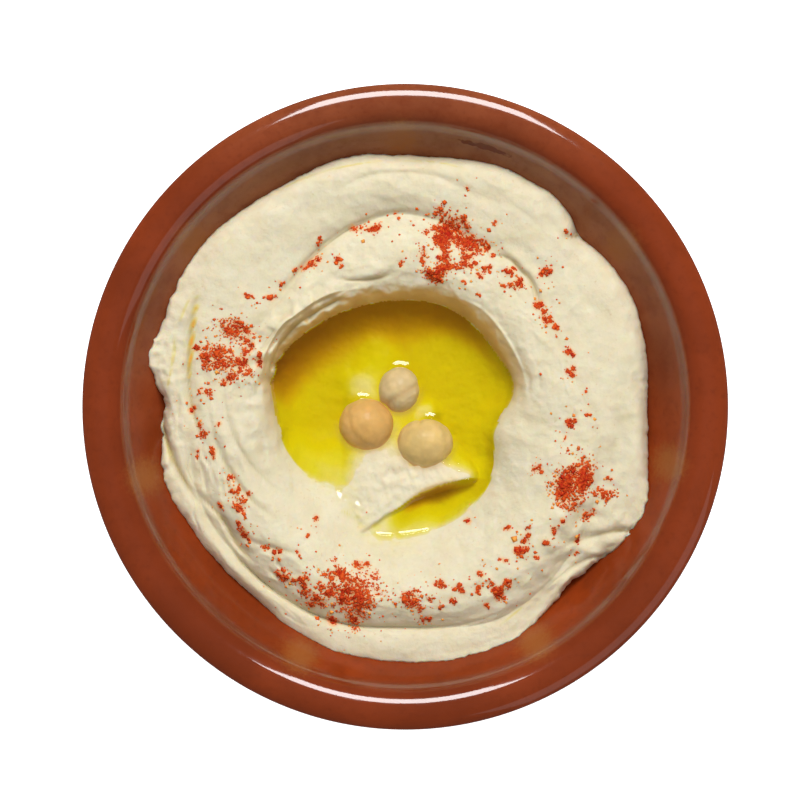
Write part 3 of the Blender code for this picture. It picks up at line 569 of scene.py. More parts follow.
def soaked(n, tone):
    """What is under oil takes its colour through the depth of oil above it, in millimetres; values past the well's
    depth are painted shade, which browns it.
    """
    depth = n.sum("DIVIDE", n.value("soak_and_shade"), SOAK[-1][0])
    ramp = n.add("ShaderNodeValToRGB", {"Fac": depth})
    for _ in range(len(SOAK) - 2):
        ramp.color_ramp.elements.new(0.5)
    for element, (at, through) in zip(ramp.color_ramp.elements, SOAK):
        element.position = at / SOAK[-1][0]
        element.color = (*through, 1.0)
    return n.mix(1.0, tone, ramp.outputs["Color"], "MULTIPLY")


def colour(rgb):
    return (rgb[0], rgb[1], rgb[2], 1.0)


def clay_material(settings):
    """Red clay under a clear glaze, with soft golden slip where the piece's slip value is high, and a painted
    reflection of the hummus: the inner wall and rim lighter and browner towards +Y.
    """
    n = Nodes("glazed clay")
    blotch = n.grain(26.0, 4.0)
    fine = n.grain(1.4, 3.0)
    within = n.value("within")
    north = n.add("ShaderNodeSeparateXYZ", {"Vector": n.place()}).outputs["Y"]
    # Painted reflection: the inner wall turns lighter and browner towards +Y, and the rim near its far edge takes some
    # of that colour.
    wall = n.mix(n.range(north, -18.0, 55.0), colour(settings.wall), colour(settings.wall_north_reflection))
    rim = n.mix(n.range(north, 45.0, 72.0, 0.0, 0.4), colour(settings.clay), colour(settings.wall_north_reflection))
    clay = n.mix(within, rim, wall)
    clay = n.mix(n.range(blotch, 0.35, 0.7, 0.0, 0.26), clay, colour((0.0, 0.0, 0.0)))
    streak = n.grain(5.0, 5.0, roughness=0.6, shift=7.0)
    clay = n.mix(n.range(streak, 0.4, 0.75, 0.0, 0.5), clay, colour([c * 0.72 for c in settings.clay]))
    clay = n.mix(n.range(fine, 0.5, 0.8, 0.0, 0.35), clay, colour([c * 0.6 for c in settings.clay]))
    brushed = n.sum("ADD", n.value("slip"), n.sum("MULTIPLY", n.grain(0.9, 4.0, roughness=0.7), 0.9))
    clay = n.mix(n.range(brushed, 0.6, 1.5, 0.0, 0.85), clay, colour(settings.slip))
    bare = n.sum("ADD", n.value("bare"), n.sum("MULTIPLY", n.grain(1.6, 4.0, shift=5.0), 0.8))
    clay = n.mix(n.range(bare, 1.1, 1.25), clay, colour([c * 0.6 for c in settings.clay]))
    foot = n.add("ShaderNodeSeparateXYZ", {"Vector": n.place()}).outputs["Z"]
    glazed = n.range(foot, 0.9, 1.6)
    clay = n.mix(glazed, colour([0.50, 0.19, 0.10]), clay)
    rough = n.range(glazed, 0.0, 1.0, 0.85, 0.15)
    ripple = n.bump(n.grain(7.0, 2.0), 0.16)
    return n.finish(Base_Color=clay, Roughness=rough, IOR=1.5, Specular_IOR_Level=0.12,
                    Coat_Weight=n.range(within, 0.0, 1.0, 1.0, 0.15), Coat_Roughness=0.05,
                    Normal=n.bump(fine, 0.02, under=ripple))


def hummus_material(settings):
    """Cream paste, mottled and slightly translucent, wet and yellow under a film of oil, stained by paprika, with
    painted shade: browned oil by the well's side and the tongue's cliff, a warm tan on the well's steep side, darker
    creases and shadows beside the chickpeas.
    """
    n = Nodes("hummus paste")
    mottle = n.grain(5.0, 5.0)
    paste = n.mix(n.range(mottle, 0.3, 0.72), colour(settings.paste), colour(settings.shade))
    speck = n.grain(0.9, 2.0, shift=9.0)
    paste = n.mix(n.range(speck, 0.64, 0.8, 0.0, 0.45), paste, colour(settings.speck))
    pores = n.grain(0.9, 4.0, roughness=0.7, shift=3.0)
    paste = n.mix(n.range(pores, 0.38, 0.66, 0.0, 0.18), paste, colour([c * 0.86 for c in settings.shade]))
    film = n.value("film")
    paste = soaked(n, paste)
    # Painted shade: the well's steep side and the tongue's cliff lip turn a warm tan.
    paste = n.mix(n.sum("MULTIPLY", n.value("hollow"), 0.85), paste, colour(settings.hollow))
    # Painted shade in creases and painted shadows beside the chickpeas.
    paste = n.mix(n.value("shade"), paste, colour(settings.crease))
    stain = n.value("stain")
    paste = n.mix(n.range(stain, 0.05, 1.0, 0.0, 0.75), paste, colour(settings.stain))
    rough = n.range(n.value("soak_and_shade"), 0.1, 0.5, 0.55, 1.0)
    matt = n.range(film, 0.0, 0.6, 1.0, 0.1)
    fine = n.bump(n.grain(0.9, 3.0), 0.06, matt)
    lumps = n.bump(n.grain(2.4, 3.0), 0.30, matt, under=fine)
    return n.finish(Base_Color=paste, Roughness=rough, Specular_IOR_Level=0.05,
                    Coat_Weight=n.range(film, 0.0, 0.8, 0.03, 0.9),
                    Coat_Roughness=0.05, Subsurface_Weight=0.4, Subsurface_Radius=(1.0, 0.5, 0.2),
                    Subsurface_Scale=1.2 * MM, IOR=1.42, Normal=lumps)


def oil_material(settings):
    """Clear oil with a faint golden tint; the blue and green it takes off with depth are given in the colours of what
    lies under it.
    """
    n = Nodes("olive oil")
    return n.finish(Base_Color=colour(settings.tone), Roughness=0.0, IOR=1.47, Transmission_Weight=1.0)


def pea_material(name, tone, deep):
    """Boiled chickpea skin: soft tan, faintly mottled, with a deeper colour of painted shade where the folds value is
    high: in its folds and on its lower side.
    """
    n = Nodes(name)
    mottle = n.grain(2.4, 4.0)
    skin = n.mix(n.range(mottle, 0.3, 0.7), colour(tone), colour([t * 0.86 for t in tone]))
    # Painted shade in the folds and on the lower side.
    skin = n.mix(n.range(n.value("fold"), 0.1, 1.0, 0.0, 0.8), skin, colour(deep))
    skin = soaked(n, skin)
    rough = n.range(mottle, 0.3, 0.7, 0.34, 0.46)
    bump = n.bump(n.grain(0.8, 3.0), 0.05)
    dry = n.range(n.value("soak_and_shade"), 0.0, 0.3, 0.35, 0.0)
    return n.finish(Base_Color=skin, Roughness=rough, Specular_IOR_Level=0.1, Coat_Weight=dry, Coat_Roughness=0.35,
                    Subsurface_Weight=0.35, Subsurface_Radius=(1.0, 0.6, 0.3), Subsurface_Scale=1.5 * MM,
                    IOR=1.42, Normal=bump)


def paprika_material(settings):
    """Dry ground pepper, from deep red to orange by each grain's tone."""
    n = Nodes("paprika")
    tone = n.value("tone")
    grain = n.mix(n.range(tone, 0.0, 0.75), colour(settings.deep), colour(settings.bright))
    grain = n.mix(n.range(tone, 0.8, 1.0), grain, colour(settings.orange))
    fine = n.grain(0.2, 2.0)
    return n.finish(Base_Color=grain, Roughness=0.85, Specular_IOR_Level=0.1, Normal=n.bump(fine, 0.02))


def floor_material(settings):
    """Plain white table."""
    n = Nodes("floor")
    speck = n.range(n.grain(40.0, 2.0), 0.3, 0.7)
    base = n.mix(speck, colour([settings.floor] * 3), colour([settings.floor * 0.985] * 3))
    return n.finish(Base_Color=base, Roughness=0.9, Emission_Color=colour((1, 1, 1)), Emission_Strength=settings.glow)


# ---------------------------------------------------------------- settings
def length(name, description, default):
    return FloatProperty(name=name, description=description, default=default, min=0.0)


def tint(name, description, default):
    return FloatVectorProperty(name=name, description=description, default=default, subtype="COLOR",
                               min=0.0, max=1.0)


class BowlSettings(bpy.types.PropertyGroup):
    clay: tint("Clay", "Colour of the glazed clay", (0.238, 0.037, 0.008))
    wall: tint("Inner wall", "Colour of the clay inside", (0.295, 0.042, 0.006))
    wall_north_reflection: tint("Inner wall, north", "Colour of the clay inside on the far side", (0.32, 0.112, 0.045))
    # Painted reflection: the far side's colour stands in for the hummus mirrored in the glaze.
    slip: tint("Slip", "Colour of the golden dabs inside", (0.32, 0.10, 0.022))
    sides: IntProperty(name="Sides", description="Facets round the bowl", default=320, min=32)
    dabs: IntProperty(name="Dabs", description="Number of dabs of slip inside the bowl", default=7, min=0)


class HummusSettings(bpy.types.PropertyGroup):
    paste: tint("Paste", "Colour of the hummus", (0.728, 0.667, 0.49))
    shade: tint("Mottle", "Colour of its darker mottling", (0.705, 0.632, 0.44))
    speck: tint("Specks", "Colour of bits of chickpea skin", (0.58, 0.44, 0.22))
    # Painted shade: the warm tan of the well's steep side, which faces away from the key light.
    hollow: tint("Wall", "Colour of the well's wall where oil has crept up it", (0.70, 0.44, 0.14))
    # Painted shade: the colour deep in creases and beside the chickpeas.
    crease: tint("Creases", "Colour deep in its creases", (0.36, 0.25, 0.085))
    stain: tint("Stain", "Colour of oil reddened by paprika", (0.84, 0.32, 0.07))
    columns: IntProperty(name="Columns", description="Points round the swirl", default=600, min=60)


class OilSettings(bpy.types.PropertyGroup):
    tone: tint("Tone", "Colour of a thin layer of the oil", (1.0, 0.98, 0.80))
    climb: length("Climb", "How far the oil climbs what it touches, in millimetres", 1.0)
    columns: IntProperty(name="Columns", description="Points round the oil's surface", default=500, min=36)


class ChickpeaSettings(bpy.types.PropertyGroup):
    orange: tint("Orange skin", "Colour of the chickpea on the left", (0.69, 0.405, 0.125))
    pale: tint("Pale skin", "Colour of the chickpea at the top", (0.69, 0.52, 0.26))
    yellow: tint("Yellow skin", "Colour of the chickpea on the right", (0.71, 0.50, 0.19))
    columns: IntProperty(name="Columns", description="Points round each chickpea", default=120, min=24)


class PaprikaSettings(bpy.types.PropertyGroup):
    deep: tint("Deep red", "Colour of the darkest grains", (0.47, 0.022, 0.008))
    bright: tint("Red", "Colour of most grains", (0.75, 0.115, 0.018))
    orange: tint("Orange", "Colour of the palest grains", (0.90, 0.36, 0.07))
    size: length("Grain", "Width of a grain, in millimetres", 0.48)


class StageSettings(bpy.types.PropertyGroup):
    floor: FloatProperty(name="Floor", description="Lightness of the floor", default=0.9, min=0.0, max=1.0)
    glow: FloatProperty(name="Glow", description="Light given off by the floor", default=1.0, min=0.0)
    key: FloatProperty(name="Key light", description="Power of the large soft light", default=12.4, unit="POWER")
    top: FloatProperty(name="Top light", description="Power of the wide light above, which leaves no gloss", default=7.0,
                       unit="POWER")
    fill: FloatProperty(name="Fill light", description="Power of the weak light opposite", default=1.4, unit="POWER")
    world: FloatProperty(name="Surround", description="Strength of the even light all round", default=0.09)


# ---------------------------------------------------------------- pieces
def bowl_section():
    """The bowl's section as (radius, height), from the middle of the base over the rim to the floor.

    Straight and curved walls are read off smooth curves; the rolled rim is two quarter ellipses.
    """
    base = [(0.0, 0.0), (FOOT_RADIUS * 0.6, 0.0), (FOOT_RADIUS, 0.0)]
    heel = drawn([(FOOT_RADIUS, 0.0), (50.4, 0.9), (53.0, 3.6)], 8)[1:]
    wall = drawn([(53.0, 3.6), (58.2, 15.0), (62.6, 25.6), (66.6, 28.2), (69.2, 31.4), (RIM_RADIUS, 36.0)], 8)[1:]
    turn = np.linspace(0.0, 0.5 * np.pi, 17)[1:]
    belly_z = 36.0
    outer = np.column_stack([CREST_RADIUS + (RIM_RADIUS - CREST_RADIUS) * np.cos(turn),
                             belly_z + (BOWL_HEIGHT - belly_z) * np.sin(turn)])
    turn = turn * 0.87
    inner = np.column_stack([CREST_RADIUS - 5.1 * np.sin(turn) / np.sin(turn[-1]),
                             BOWL_HEIGHT - 3.7 * (1.0 - np.cos(turn)) / (1.0 - np.cos(turn[-1]))])
    inside = drawn(inner_wall(), 5)
    return np.vstack([base, heel, wall, outer, inner[:-1], inside])


def slip_shape(angle, radius, count):
    """How much slip covers a place on the inner wall: soft round dabs spaced round it, 0 to 1."""
    cover = np.zeros_like(angle)
    for place in [91.0, 37.0, -12.0, -61.0, -113.0, -165.0, 142.0][:count]:
        along = np.radians(turn_off(angle, place)) * radius / 4.8
        cover = np.maximum(cover, np.exp(-(along**2 + ((radius - 59.0) / 3.6) ** 2)))
    return cover


class DISH_OT_bowl(bpy.types.Operator):
    """Turns the glazed clay bowl and paints its dabs of slip"""
    bl_idname = "dish.bowl"
    bl_label = "Bowl"

    def execute(self, context):
        settings = context.scene.dish_bowl
        section = bowl_section()
        turn = np.linspace(0.0, 2.0 * np.pi, settings.sides, endpoint=False)
        middle = section[1:-1]
        radius, angle = np.meshgrid(middle[:, 0], turn, indexing="ij")
        height = np.repeat(middle[:, 1:], settings.sides, axis=1)
        rings = np.stack([radius * np.cos(angle), radius * np.sin(angle), height], axis=-1)
        bowl = closed_rings("bowl_glazed", rings, (0.0, 0.0, 0.0), (0.0, 0.0, FLOOR_Z))
        x, y, z = np.array([v.co[:] for v in bowl.data.vertices]).T / MM
        angle = np.degrees(np.arctan2(y, x))
        radius = np.hypot(x, y)
        inside = (radius < CREST_RADIUS) & (z > wall_height(np.minimum(radius, ARRIS_RADIUS)) - 1.0)
        set_value(bowl, "slip", slip_shape(angle, radius, settings.dabs) * inside)
        near = np.exp(-((turn_off(angle, 73.0) / 11.0) ** 2)) * np.exp(-(((radius - 59.4) / 0.9) ** 2))
        set_value(bowl, "bare", near * inside)
        set_value(bowl, "within", np.clip((ARRIS_RADIUS - radius) / 0.8, 0.0, 1.0) * inside)
        settle(bowl, clay_material(settings), "glazed_clay", "bowl")
        return {"FINISHED"}


def swirl_stations(angle):
    """Radii of the hummus's mesh from the middle of the well to the edge, close together at the shore."""
    ring = [around(knots, angle) for knots in (SHORE, RIDGE, FOLD, LIP)] + [ragged_edge(angle)]
    counts = (64, 32, 26, 18, 14)
    stations = [ring[0] * (1.0 - (1.0 - step / counts[0]) ** 1.25) for step in range(1, counts[0] + 1)]
    for inside, outside, steps in zip(ring[:-1], ring[1:], counts[1:]):
        stations += [inside + (outside - inside) * step / steps for step in range(1, steps + 1)]
    return np.array(stations)


def grains_near(x, y):
    """Number of paprika grains close by: counted in small squares and spread by a bell curve both ways."""
    cell, half, spread = 0.3, 60.0, 0.55
    counts = np.histogram2d(*scatter(), bins=int(2 * half / cell), range=[[-half, half]] * 2)[0]
    bell = np.exp(-((np.arange(-6, 7) * cell / spread) ** 2))
    for axis in (0, 1):
        counts = np.apply_along_axis(np.convolve, axis, counts, bell, mode="same")
    column, row = (np.clip(((c + half) / cell).astype(int), 0, len(counts) - 1) for c in (x, y))
    return counts[column, row]


def crease_shade(x, y):
    """Painted shade in creases, 0 to 1: from the fall of the grain, the fold and the spoon's marks."""
    radius = np.hypot(x, y)
    angle = np.degrees(np.arctan2(y, x))
    dry = bump_of(radius - around(SHORE, angle), -0.5, 2.5)
    dark = 0.30 * np.clip(-hummus_grain(x, y) / 0.9, 0.0, 1.0) ** 1.5
    dark = np.maximum(dark, 0.12 * np.exp(-(((radius - around(FOLD, angle)) / 1.3) ** 2)))
    for points, left, right in STROKES.values():
        away, depth = beside(x, y, drawn(from_polar(points)))
        depth = np.clip(depth, 0.0, 2.0)
        dark = np.maximum(dark, 0.16 * depth * np.exp(-((away / 0.9) ** 2)) + 0.35 * depth * np.exp(-((away / 0.3) ** 2)))
    return np.clip(dark, 0.0, 0.8) * dry * (radius < ragged_edge(angle))


def shaded_wall(x, y, upright):
    """Painted shade on the steep side of the well, 0 to 1: where the surface stands up near the shore, mostly on its +Y
    side.
    """
    angle = np.degrees(np.arctan2(y, x))
    above = np.hypot(x, y) - around(SHORE, angle)
    part = np.exp(-((turn_off(angle, 85.0) / 72.0) ** 4)) + 0.2 * np.exp(-((turn_off(angle, 168.0) / 24.0) ** 2))
    return part * bump_of(-upright, -0.95, -0.55) * np.exp(-((above / 3.8) ** 2)) * (above > 0.0)


def chickpea_contact_shade(x, y):
    """Painted shadow beside a chickpea, 0 to 1: a bell round its outline seen from above, strongest on its -Y side."""
    near = np.zeros_like(x)
    for centre, half in pea_places().values():
        east, north = (x - centre[0]) / half[0], (y - centre[1]) / half[1]
        share = np.maximum(np.hypot(east, north), 0.1)
        away = np.clip(share - 1.0, 0.0, None) * 0.5 * (half[0] + half[1])
        near = np.maximum(near, np.exp(-((away / 0.9) ** 2)) * np.clip(0.2 - 0.8 * north / share, 0.0, 1.0))
    return near


def pale_patch(x, y):
    """How much the oil's colour is thinned over the well floor's rises, 0 to 1, so they show paler: a flat top and a
    soft ragged edge.
    """
    pale = np.zeros_like(x)
    for centre_x, centre_y, reach_x, reach_y, _ in MOUNDS:
        out = (np.abs(x - centre_x) / reach_x) ** 4 + (np.abs(y - centre_y) / reach_y) ** 4
        pale = np.maximum(pale, np.exp(-2.0 * out * (1.0 + 0.6 * noise(x / 2.0, y / 2.0, 31.0 + 0.0 * x))))
    return pale


def cliff_lip_shade(x, y):
    """Painted shade on the lip of the tongue's cliff, 0 to 1."""
    below = across(TONGUE_LINE, x) - y
    return np.exp(-(((below - 0.2) / 0.7) ** 2)) * bump_of(x, -2.0, 3.0) * bump_of(-x, -13.0, -10.0)


def oil_film(x, y):
    """Where a film of oil wets the hummus, 0 to 1: on the facets of the bank and faintly above the lower shore."""
    angle = np.degrees(np.arctan2(y, x))
    above = np.hypot(x, y) - around(SHORE, angle)
    film = 0.25 * np.exp(-((turn_off(angle, -100.0) / 26.0) ** 2)) * np.exp(-((above / 1.2) ** 2))
    for facet in FACETS:
        film = np.maximum(film, bump_of(on_facet(x, y, facet), 0.05, 0.5))
    return film


def thin_oil(x, y):
    """Oil soaked into the gentle bank just above its shore, in millimetres."""
    angle = np.degrees(np.arctan2(y, x))
    above = np.hypot(x, y) - around(SHORE, angle)
    gentle = bump_of(around(BANK, angle), 6.0, 20.0)
    patchy = bump_of(noise(x / 1.8, y / 1.0, 22.0 + 0.0 * x), -0.2, 0.6)
    return gentle * (0.04 + 0.12 * patchy) * np.exp(-((above / 2.4) ** 2))


def painted_oil_shade(x, y):
    """Painted shade of the well's side and the tongue's cliff on the oil, 0 to 1, strongest just inside them."""
    angle = np.degrees(np.arctan2(y, x))
    inside = around(SHORE, angle) - np.hypot(x, y)
    side = around(SHADE, angle) * np.exp(-((np.clip(inside, 0.0, None) / around(SHADE_WIDTH, angle)) ** 3))
    below = across(TONGUE_LINE, x) - y
    cliff = np.exp(-((np.clip(below - 1.4, 0.0, None) / 3.0) ** 2)) * (below > 0.0) * bump_of(x, -4.0, 2.0)
    cliff = cliff * (1.0 - 0.5 * bump_of(x, 8.0, 14.0))
    return np.maximum(side, 0.82 * cliff)


def oil_streaks(x, y):
    """Threads of oil caught on the dry hummus: how yellow they make it and how red, each 0 to 1."""
    yellow, red = np.zeros_like(x), np.zeros_like(x)
    for width, redness, points in THREADS:
        away, strength = beside(x, y, drawn(from_polar(points)))
        broken = bump_of(noise(x / 1.6, y / 1.6, 60.0 + 0.0 * x), -0.8, -0.1)
        thread = strength * np.exp(-((away / width) ** 2)) * broken
        yellow = np.maximum(yellow, thread)
        red = np.maximum(red, redness * thread)
    return yellow, red


class DISH_OT_hummus(bpy.types.Operator):
    """Spoons the hummus into its swirl round the well"""
    bl_idname = "dish.hummus"
    bl_label = "Hummus"

    def execute(self, context):
        settings = context.scene.dish_hummus
        angle = np.linspace(0.0, 360.0, settings.columns, endpoint=False)
        radius = swirl_stations(angle)
        x = radius * np.cos(np.radians(angle))
        y = radius * np.sin(np.radians(angle))
        top = np.stack([x, y, hummus_surface(x, y)], axis=-1)
        top[-1, :, 2] = wall_height(radius[-1])
        under = []
        for far in (53.0, 50.0, 46.0, 40.0, 24.0):
            height = np.full(angle.shape, float(wall_height(far)) + 0.15)
            under.append(np.stack([far * np.cos(np.radians(angle)), far * np.sin(np.radians(angle)), height], axis=-1))
        rings = np.concatenate([top, np.array(under)])
        middle = float(hummus_surface(np.zeros(1), np.zeros(1))[0])
        hummus = closed_rings("hummus_swirl", rings, (0.0, 0.0, middle), (0.0, 0.0, FLOOR_Z + 0.15))
        x, y, z = np.array([v.co[:] for v in hummus.data.vertices]).T / MM
        yellow, red = oil_streaks(x, y)
        set_value(hummus, "stain", np.maximum(1.0 - np.exp(-grains_near(x, y) / 8.0), red))
        set_value(hummus, "film", np.maximum(oil_film(x, y), yellow))
        upright = np.array([v.normal.z for v in hummus.data.vertices])
        # Painted shade on the well's steep side and the tongue's cliff lip.
        set_value(hummus, "hollow", np.maximum(1.7 * shaded_wall(x, y, upright), 0.6 * cliff_lip_shade(x, y)))
        # Painted shade in creases and painted shadows beside the chickpeas.
        set_value(hummus, "shade", np.maximum(crease_shade(x, y), 0.55 * chickpea_contact_shade(x, y)))
        inside = np.hypot(x, y) < around(SHORE, np.degrees(np.arctan2(y, x))) + 3.0
        over = np.where(inside, oil_level(x, y, context.scene.dish_oil.climb) - z, -1.0)
        # Over the rises the oil's colour is thinned to a fifth of its depth.
        depth = np.clip(over, 0.0, 4.6) * (1.0 - 0.8 * pale_patch(x, y))
        # Painted shade: where the well's side or the tongue's cliff shades the oil, the value is pushed towards 8.4 mm
        # for a brown.
        depth = depth + (8.4 - depth) * painted_oil_shade(x, y) * bump_of(over, -0.12, 0.3)
        set_value(hummus, "soak_and_shade", depth + thin_oil(x, y) + 0.25 * yellow + 0.8 * red * (over < 0.0))
        settle(hummus, hummus_material(settings), "hummus", "hummus")
        return {"FINISHED"}


# Folds of a chickpea: the plane's bearing, tilt and distance out, depth and width as shares of the
# radius, then the bearing and rise of the place where the fold is deepest and its reach in degrees.
# Beaks: bearing, rise, height as a share of the radius and spread in radians.
LEFT_FOLDS = [(210.0, -39.0, -0.04, 0.045, 0.15, 205.0, 25.0, 85.0)]
LEFT_BEAKS = [(300.0, 12.0, 0.05, 0.28)]
TOP_FOLDS = [(-58.0, -3.0, 0.235, 0.075, 0.27, -50.0, 60.0, 110.0), (-68.0, -3.0, 0.60, 0.02, 0.16, -50.0, 25.0, 45.0),
             (-58.0, -3.0, 0.235, 0.07, 0.20, 222.0, 20.0, 34.0)]
TOP_BEAKS = [(219.0, 5.0, 0.03, 0.25)]
RIGHT_FOLDS = [(2.0, -12.0, 0.66, 0.035, 0.12, 2.0, 20.0, 55.0), (16.0, 0.0, 0.02, 0.08, 0.12, 106.0, 12.0, 22.0),
               (343.0, 0.0, 0.0, 0.05, 0.09, 253.0, 0.0, 14.0)]
RIGHT_BEAKS = [(245.0, 0.0, 0.05, 0.2), (266.0, 2.0, 0.07, 0.2)]
MENISCUS = {"chickpea_left": (104.0, 24.0), "chickpea_top": (85.0, 50.0), "chickpea_right": (77.0, 22.0)}


def pea_places():
    """Centre and half sizes of each chickpea's solid, in millimetres."""
    places = {}
    for name in ("chickpea_left", "chickpea_top", "chickpea_right"):
        low, high = (np.array(corner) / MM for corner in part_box(name))
        places[name] = ((low + high) / 2.0, (high - low) / 2.0)
    return places


def oil_level(x, y, climb):
    """The oil's surface: level, climbing by an exponential curve where it meets hummus or a chickpea.

    The climb against a chickpea is highest on one bearing and falls off round it by a bell curve.
    """
    step = 0.05
    here = hummus_surface(x, y)
    slope = np.hypot(hummus_surface(x + step, y) - here, hummus_surface(x, y + step) - here) / step
    away = np.abs(OIL_Z - here) / np.maximum(slope, 0.25)
    rise = 0.35 * climb * np.clip(slope, 0.0, 1.0) * np.exp(-away / 1.0)
    angle = np.degrees(np.arctan2(y, x))
    inside = np.clip(around(SHORE, angle) - np.hypot(x, y), 0.0, None)
    lower = bump_of(-np.abs(turn_off(angle, -91.0)), -15.0, -10.0) * (1.0 - 0.6 * np.exp(-(turn_off(angle, -94.7) ** 2)))
    rise = np.maximum(rise, 0.6 * climb * lower * np.exp(-inside / 0.75))
    for name, (centre, half) in pea_places().items():
        share = np.hypot((x - centre[0]) / half[0], (y - centre[1]) / half[1])
        away = np.clip((share - 1.0) * 0.5 * (half[0] + half[1]), 0.0, None)
        bearing, spread = MENISCUS[name]
        off = turn_off(np.degrees(np.arctan2(y - centre[1], x - centre[0])), bearing)
        rise = np.maximum(rise, climb * (0.2 + 0.8 * np.exp(-((off / spread) ** 2))) * np.exp(-away / 1.3))
    return OIL_Z + rise


class DISH_OT_oil(bpy.types.Operator):
    """Pours the olive oil into the well"""
    bl_idname = "dish.oil"
    bl_label = "Olive oil"

    def execute(self, context):
        settings = context.scene.dish_oil
        angle = np.linspace(0.0, 360.0, settings.columns, endpoint=False)
        reach = around(SHORE, angle) + 1.6
        share = np.linspace(0.0, 1.0, 190)[1:] ** 0.85
        radius = share[:, None] * reach[None, :]
        x = radius * np.cos(np.radians(angle))
        y = radius * np.sin(np.radians(angle))
        top = np.stack([x, y, oil_level(x, y, settings.climb)], axis=-1)
        low = OIL_Z - WELL_DEPTH - 1.5
        edge = top[-1:].copy()
        edge[..., 2] = low
        rings = np.concatenate([top, edge])
        oil = closed_rings("oil_pool", rings, (0.0, 0.0, float(oil_level(np.zeros(1), np.zeros(1), settings.climb)[0])),
                           (0.0, 0.0, low))
        oil.visible_shadow = False
        oil.visible_diffuse = False
        settle(oil, oil_material(settings), "olive_oil", "oil")
        return {"FINISHED"}


def pea_surface(centre, half, columns, folds, beaks):
    """A chickpea as a ball read round and up: an ellipsoid with folds, beaks and small dimples.

    A fold lies where a plane cuts the ball, given by its bearing, tilt and distance out, and fades
    off round the ball from one bearing; a beak is a bell-shaped rise in one direction.
    """
    turn = np.linspace(0.0, 2.0 * np.pi, columns, endpoint=False)
    rise = np.linspace(0.5 * np.pi, -0.5 * np.pi, columns // 2 + 1)[1:-1]
    rise, turn = np.meshgrid(rise, turn, indexing="ij")
    way = np.stack([np.cos(rise) * np.cos(turn), np.cos(rise) * np.sin(turn), np.sin(rise)], axis=-1)
    swell = np.ones(turn.shape)
    fold = np.zeros(turn.shape)
    for bearing, tilt, out, depth, width, middle, climb, reach in folds:
        off = way @ direction(bearing, tilt) - out
        here = np.exp(-((np.degrees(np.arccos(np.clip(way @ direction(middle, climb), -1.0, 1.0))) / reach) ** 2))
        valley = np.exp(-((off / width) ** 2)) * here
        line = np.exp(-((off / (0.35 * width)) ** 2)) * here
        swell -= depth * (valley + 0.08 * line) - 0.3 * depth * np.tanh(-off / width) * here
        # Painted shade deep in the folds.
        fold = np.maximum(fold, (5.0 * depth) * (valley + 0.3 * line))
    # Painted shade: the lower side, most towards -Y, takes the deep colour like the folds.
    rim = bump_of(-way[..., 2], -0.55, -0.05) * np.clip(0.55 - 0.45 * way[..., 1], 0.0, 1.0)
    fold = np.maximum(fold, rim)
    for bearing, climb, height, spread in beaks:
        off = np.arccos(np.clip(way @ direction(bearing, climb), -1.0, 1.0))
        swell += height * np.exp(-((off / spread) ** 2))
    spots = [way[..., axis] * 2.1 + centre[0] for axis in range(3)]
    wave = 0.028 * noise(*spots) + 0.012 * noise(*(2.7 * spot for spot in spots))
    size = 1.0 / np.sqrt(sum((way[..., axis] / half[axis]) ** 2 for axis in range(3)))
    return centre + way * (size * (swell + wave))[..., None], fold


def direction(bearing, rise):
    """A unit vector from a bearing and a rise in degrees."""
    bearing, rise = math.radians(bearing), math.radians(rise)
    return np.array([math.cos(rise) * math.cos(bearing), math.cos(rise) * math.sin(bearing), math.sin(rise)])


class DISH_OT_chickpeas(bpy.types.Operator):
    """Sets the three chickpeas in the oil"""
    bl_idname = "dish.chickpeas"
    bl_label = "Chickpeas"

    def execute(self, context):
        settings = context.scene.dish_chickpeas
        # The last colour of each is the painted shade of its folds and lower side.
        shapes = {"chickpea_left": (LEFT_FOLDS, LEFT_BEAKS, settings.orange, (0.74, 0.32, 0.05)),
                  "chickpea_top": (TOP_FOLDS, TOP_BEAKS, settings.pale, (0.68, 0.38, 0.14)),
                  "chickpea_right": (RIGHT_FOLDS, RIGHT_BEAKS, settings.yellow, (0.72, 0.38, 0.09))}
        for name, (centre, half) in pea_places().items():
            folds, beaks, tone, deep = shapes[name]
            points, fold = pea_surface(centre, half * 0.985, settings.columns, folds, beaks)
            top = points[0].mean(axis=0) + (0.0, 0.0, 0.01)
            bottom = points[-1].mean(axis=0) - (0.0, 0.0, 0.01)
            pea = closed_rings(name + "_skin", points, top, bottom)
            pea.visible_shadow = False
            set_value(pea, "fold", np.concatenate([[0.0], fold.ravel(), [0.0]]))
            set_value(pea, "soak_and_shade", np.clip(OIL_Z - np.array([v.co.z for v in pea.data.vertices]) / MM, 0.0, 8.0))
            settle(pea, pea_material(name + " skin", tone, deep), "chickpea", name)
        return {"FINISHED"}


def scatter():
    """Places of all grains: clumps inside each cluster, thinning outwards, and a few strays all round."""
    rng = np.random.default_rng(SEED + 2)
    places = []
    for at, far, along, over, amount in PAPRIKA:
        amount = int(1.1 * amount)
        clumps = max(2, amount // 16)
        centres = rng.normal(size=(clumps, 2)) * 0.68
        pick = rng.integers(0, clumps, amount)
        off = centres[pick] + rng.normal(size=(amount, 2)) * rng.uniform(0.14, 0.42, clumps)[pick][:, None]
        places.append(np.column_stack([at + off[:, 0] * along, far + off[:, 1] * over]))
        stray = max(3, amount // 7)
        off = rng.normal(size=(stray, 2)) * 1.0
        places.append(np.column_stack([at + off[:, 0] * (along + 1.0), far + off[:, 1] * (over + 0.8)]))
    polar = np.vstack(places)
    turn = np.radians(polar[:, 0])
    return polar[:, 1] * np.cos(turn), polar[:, 1] * np.sin(turn)


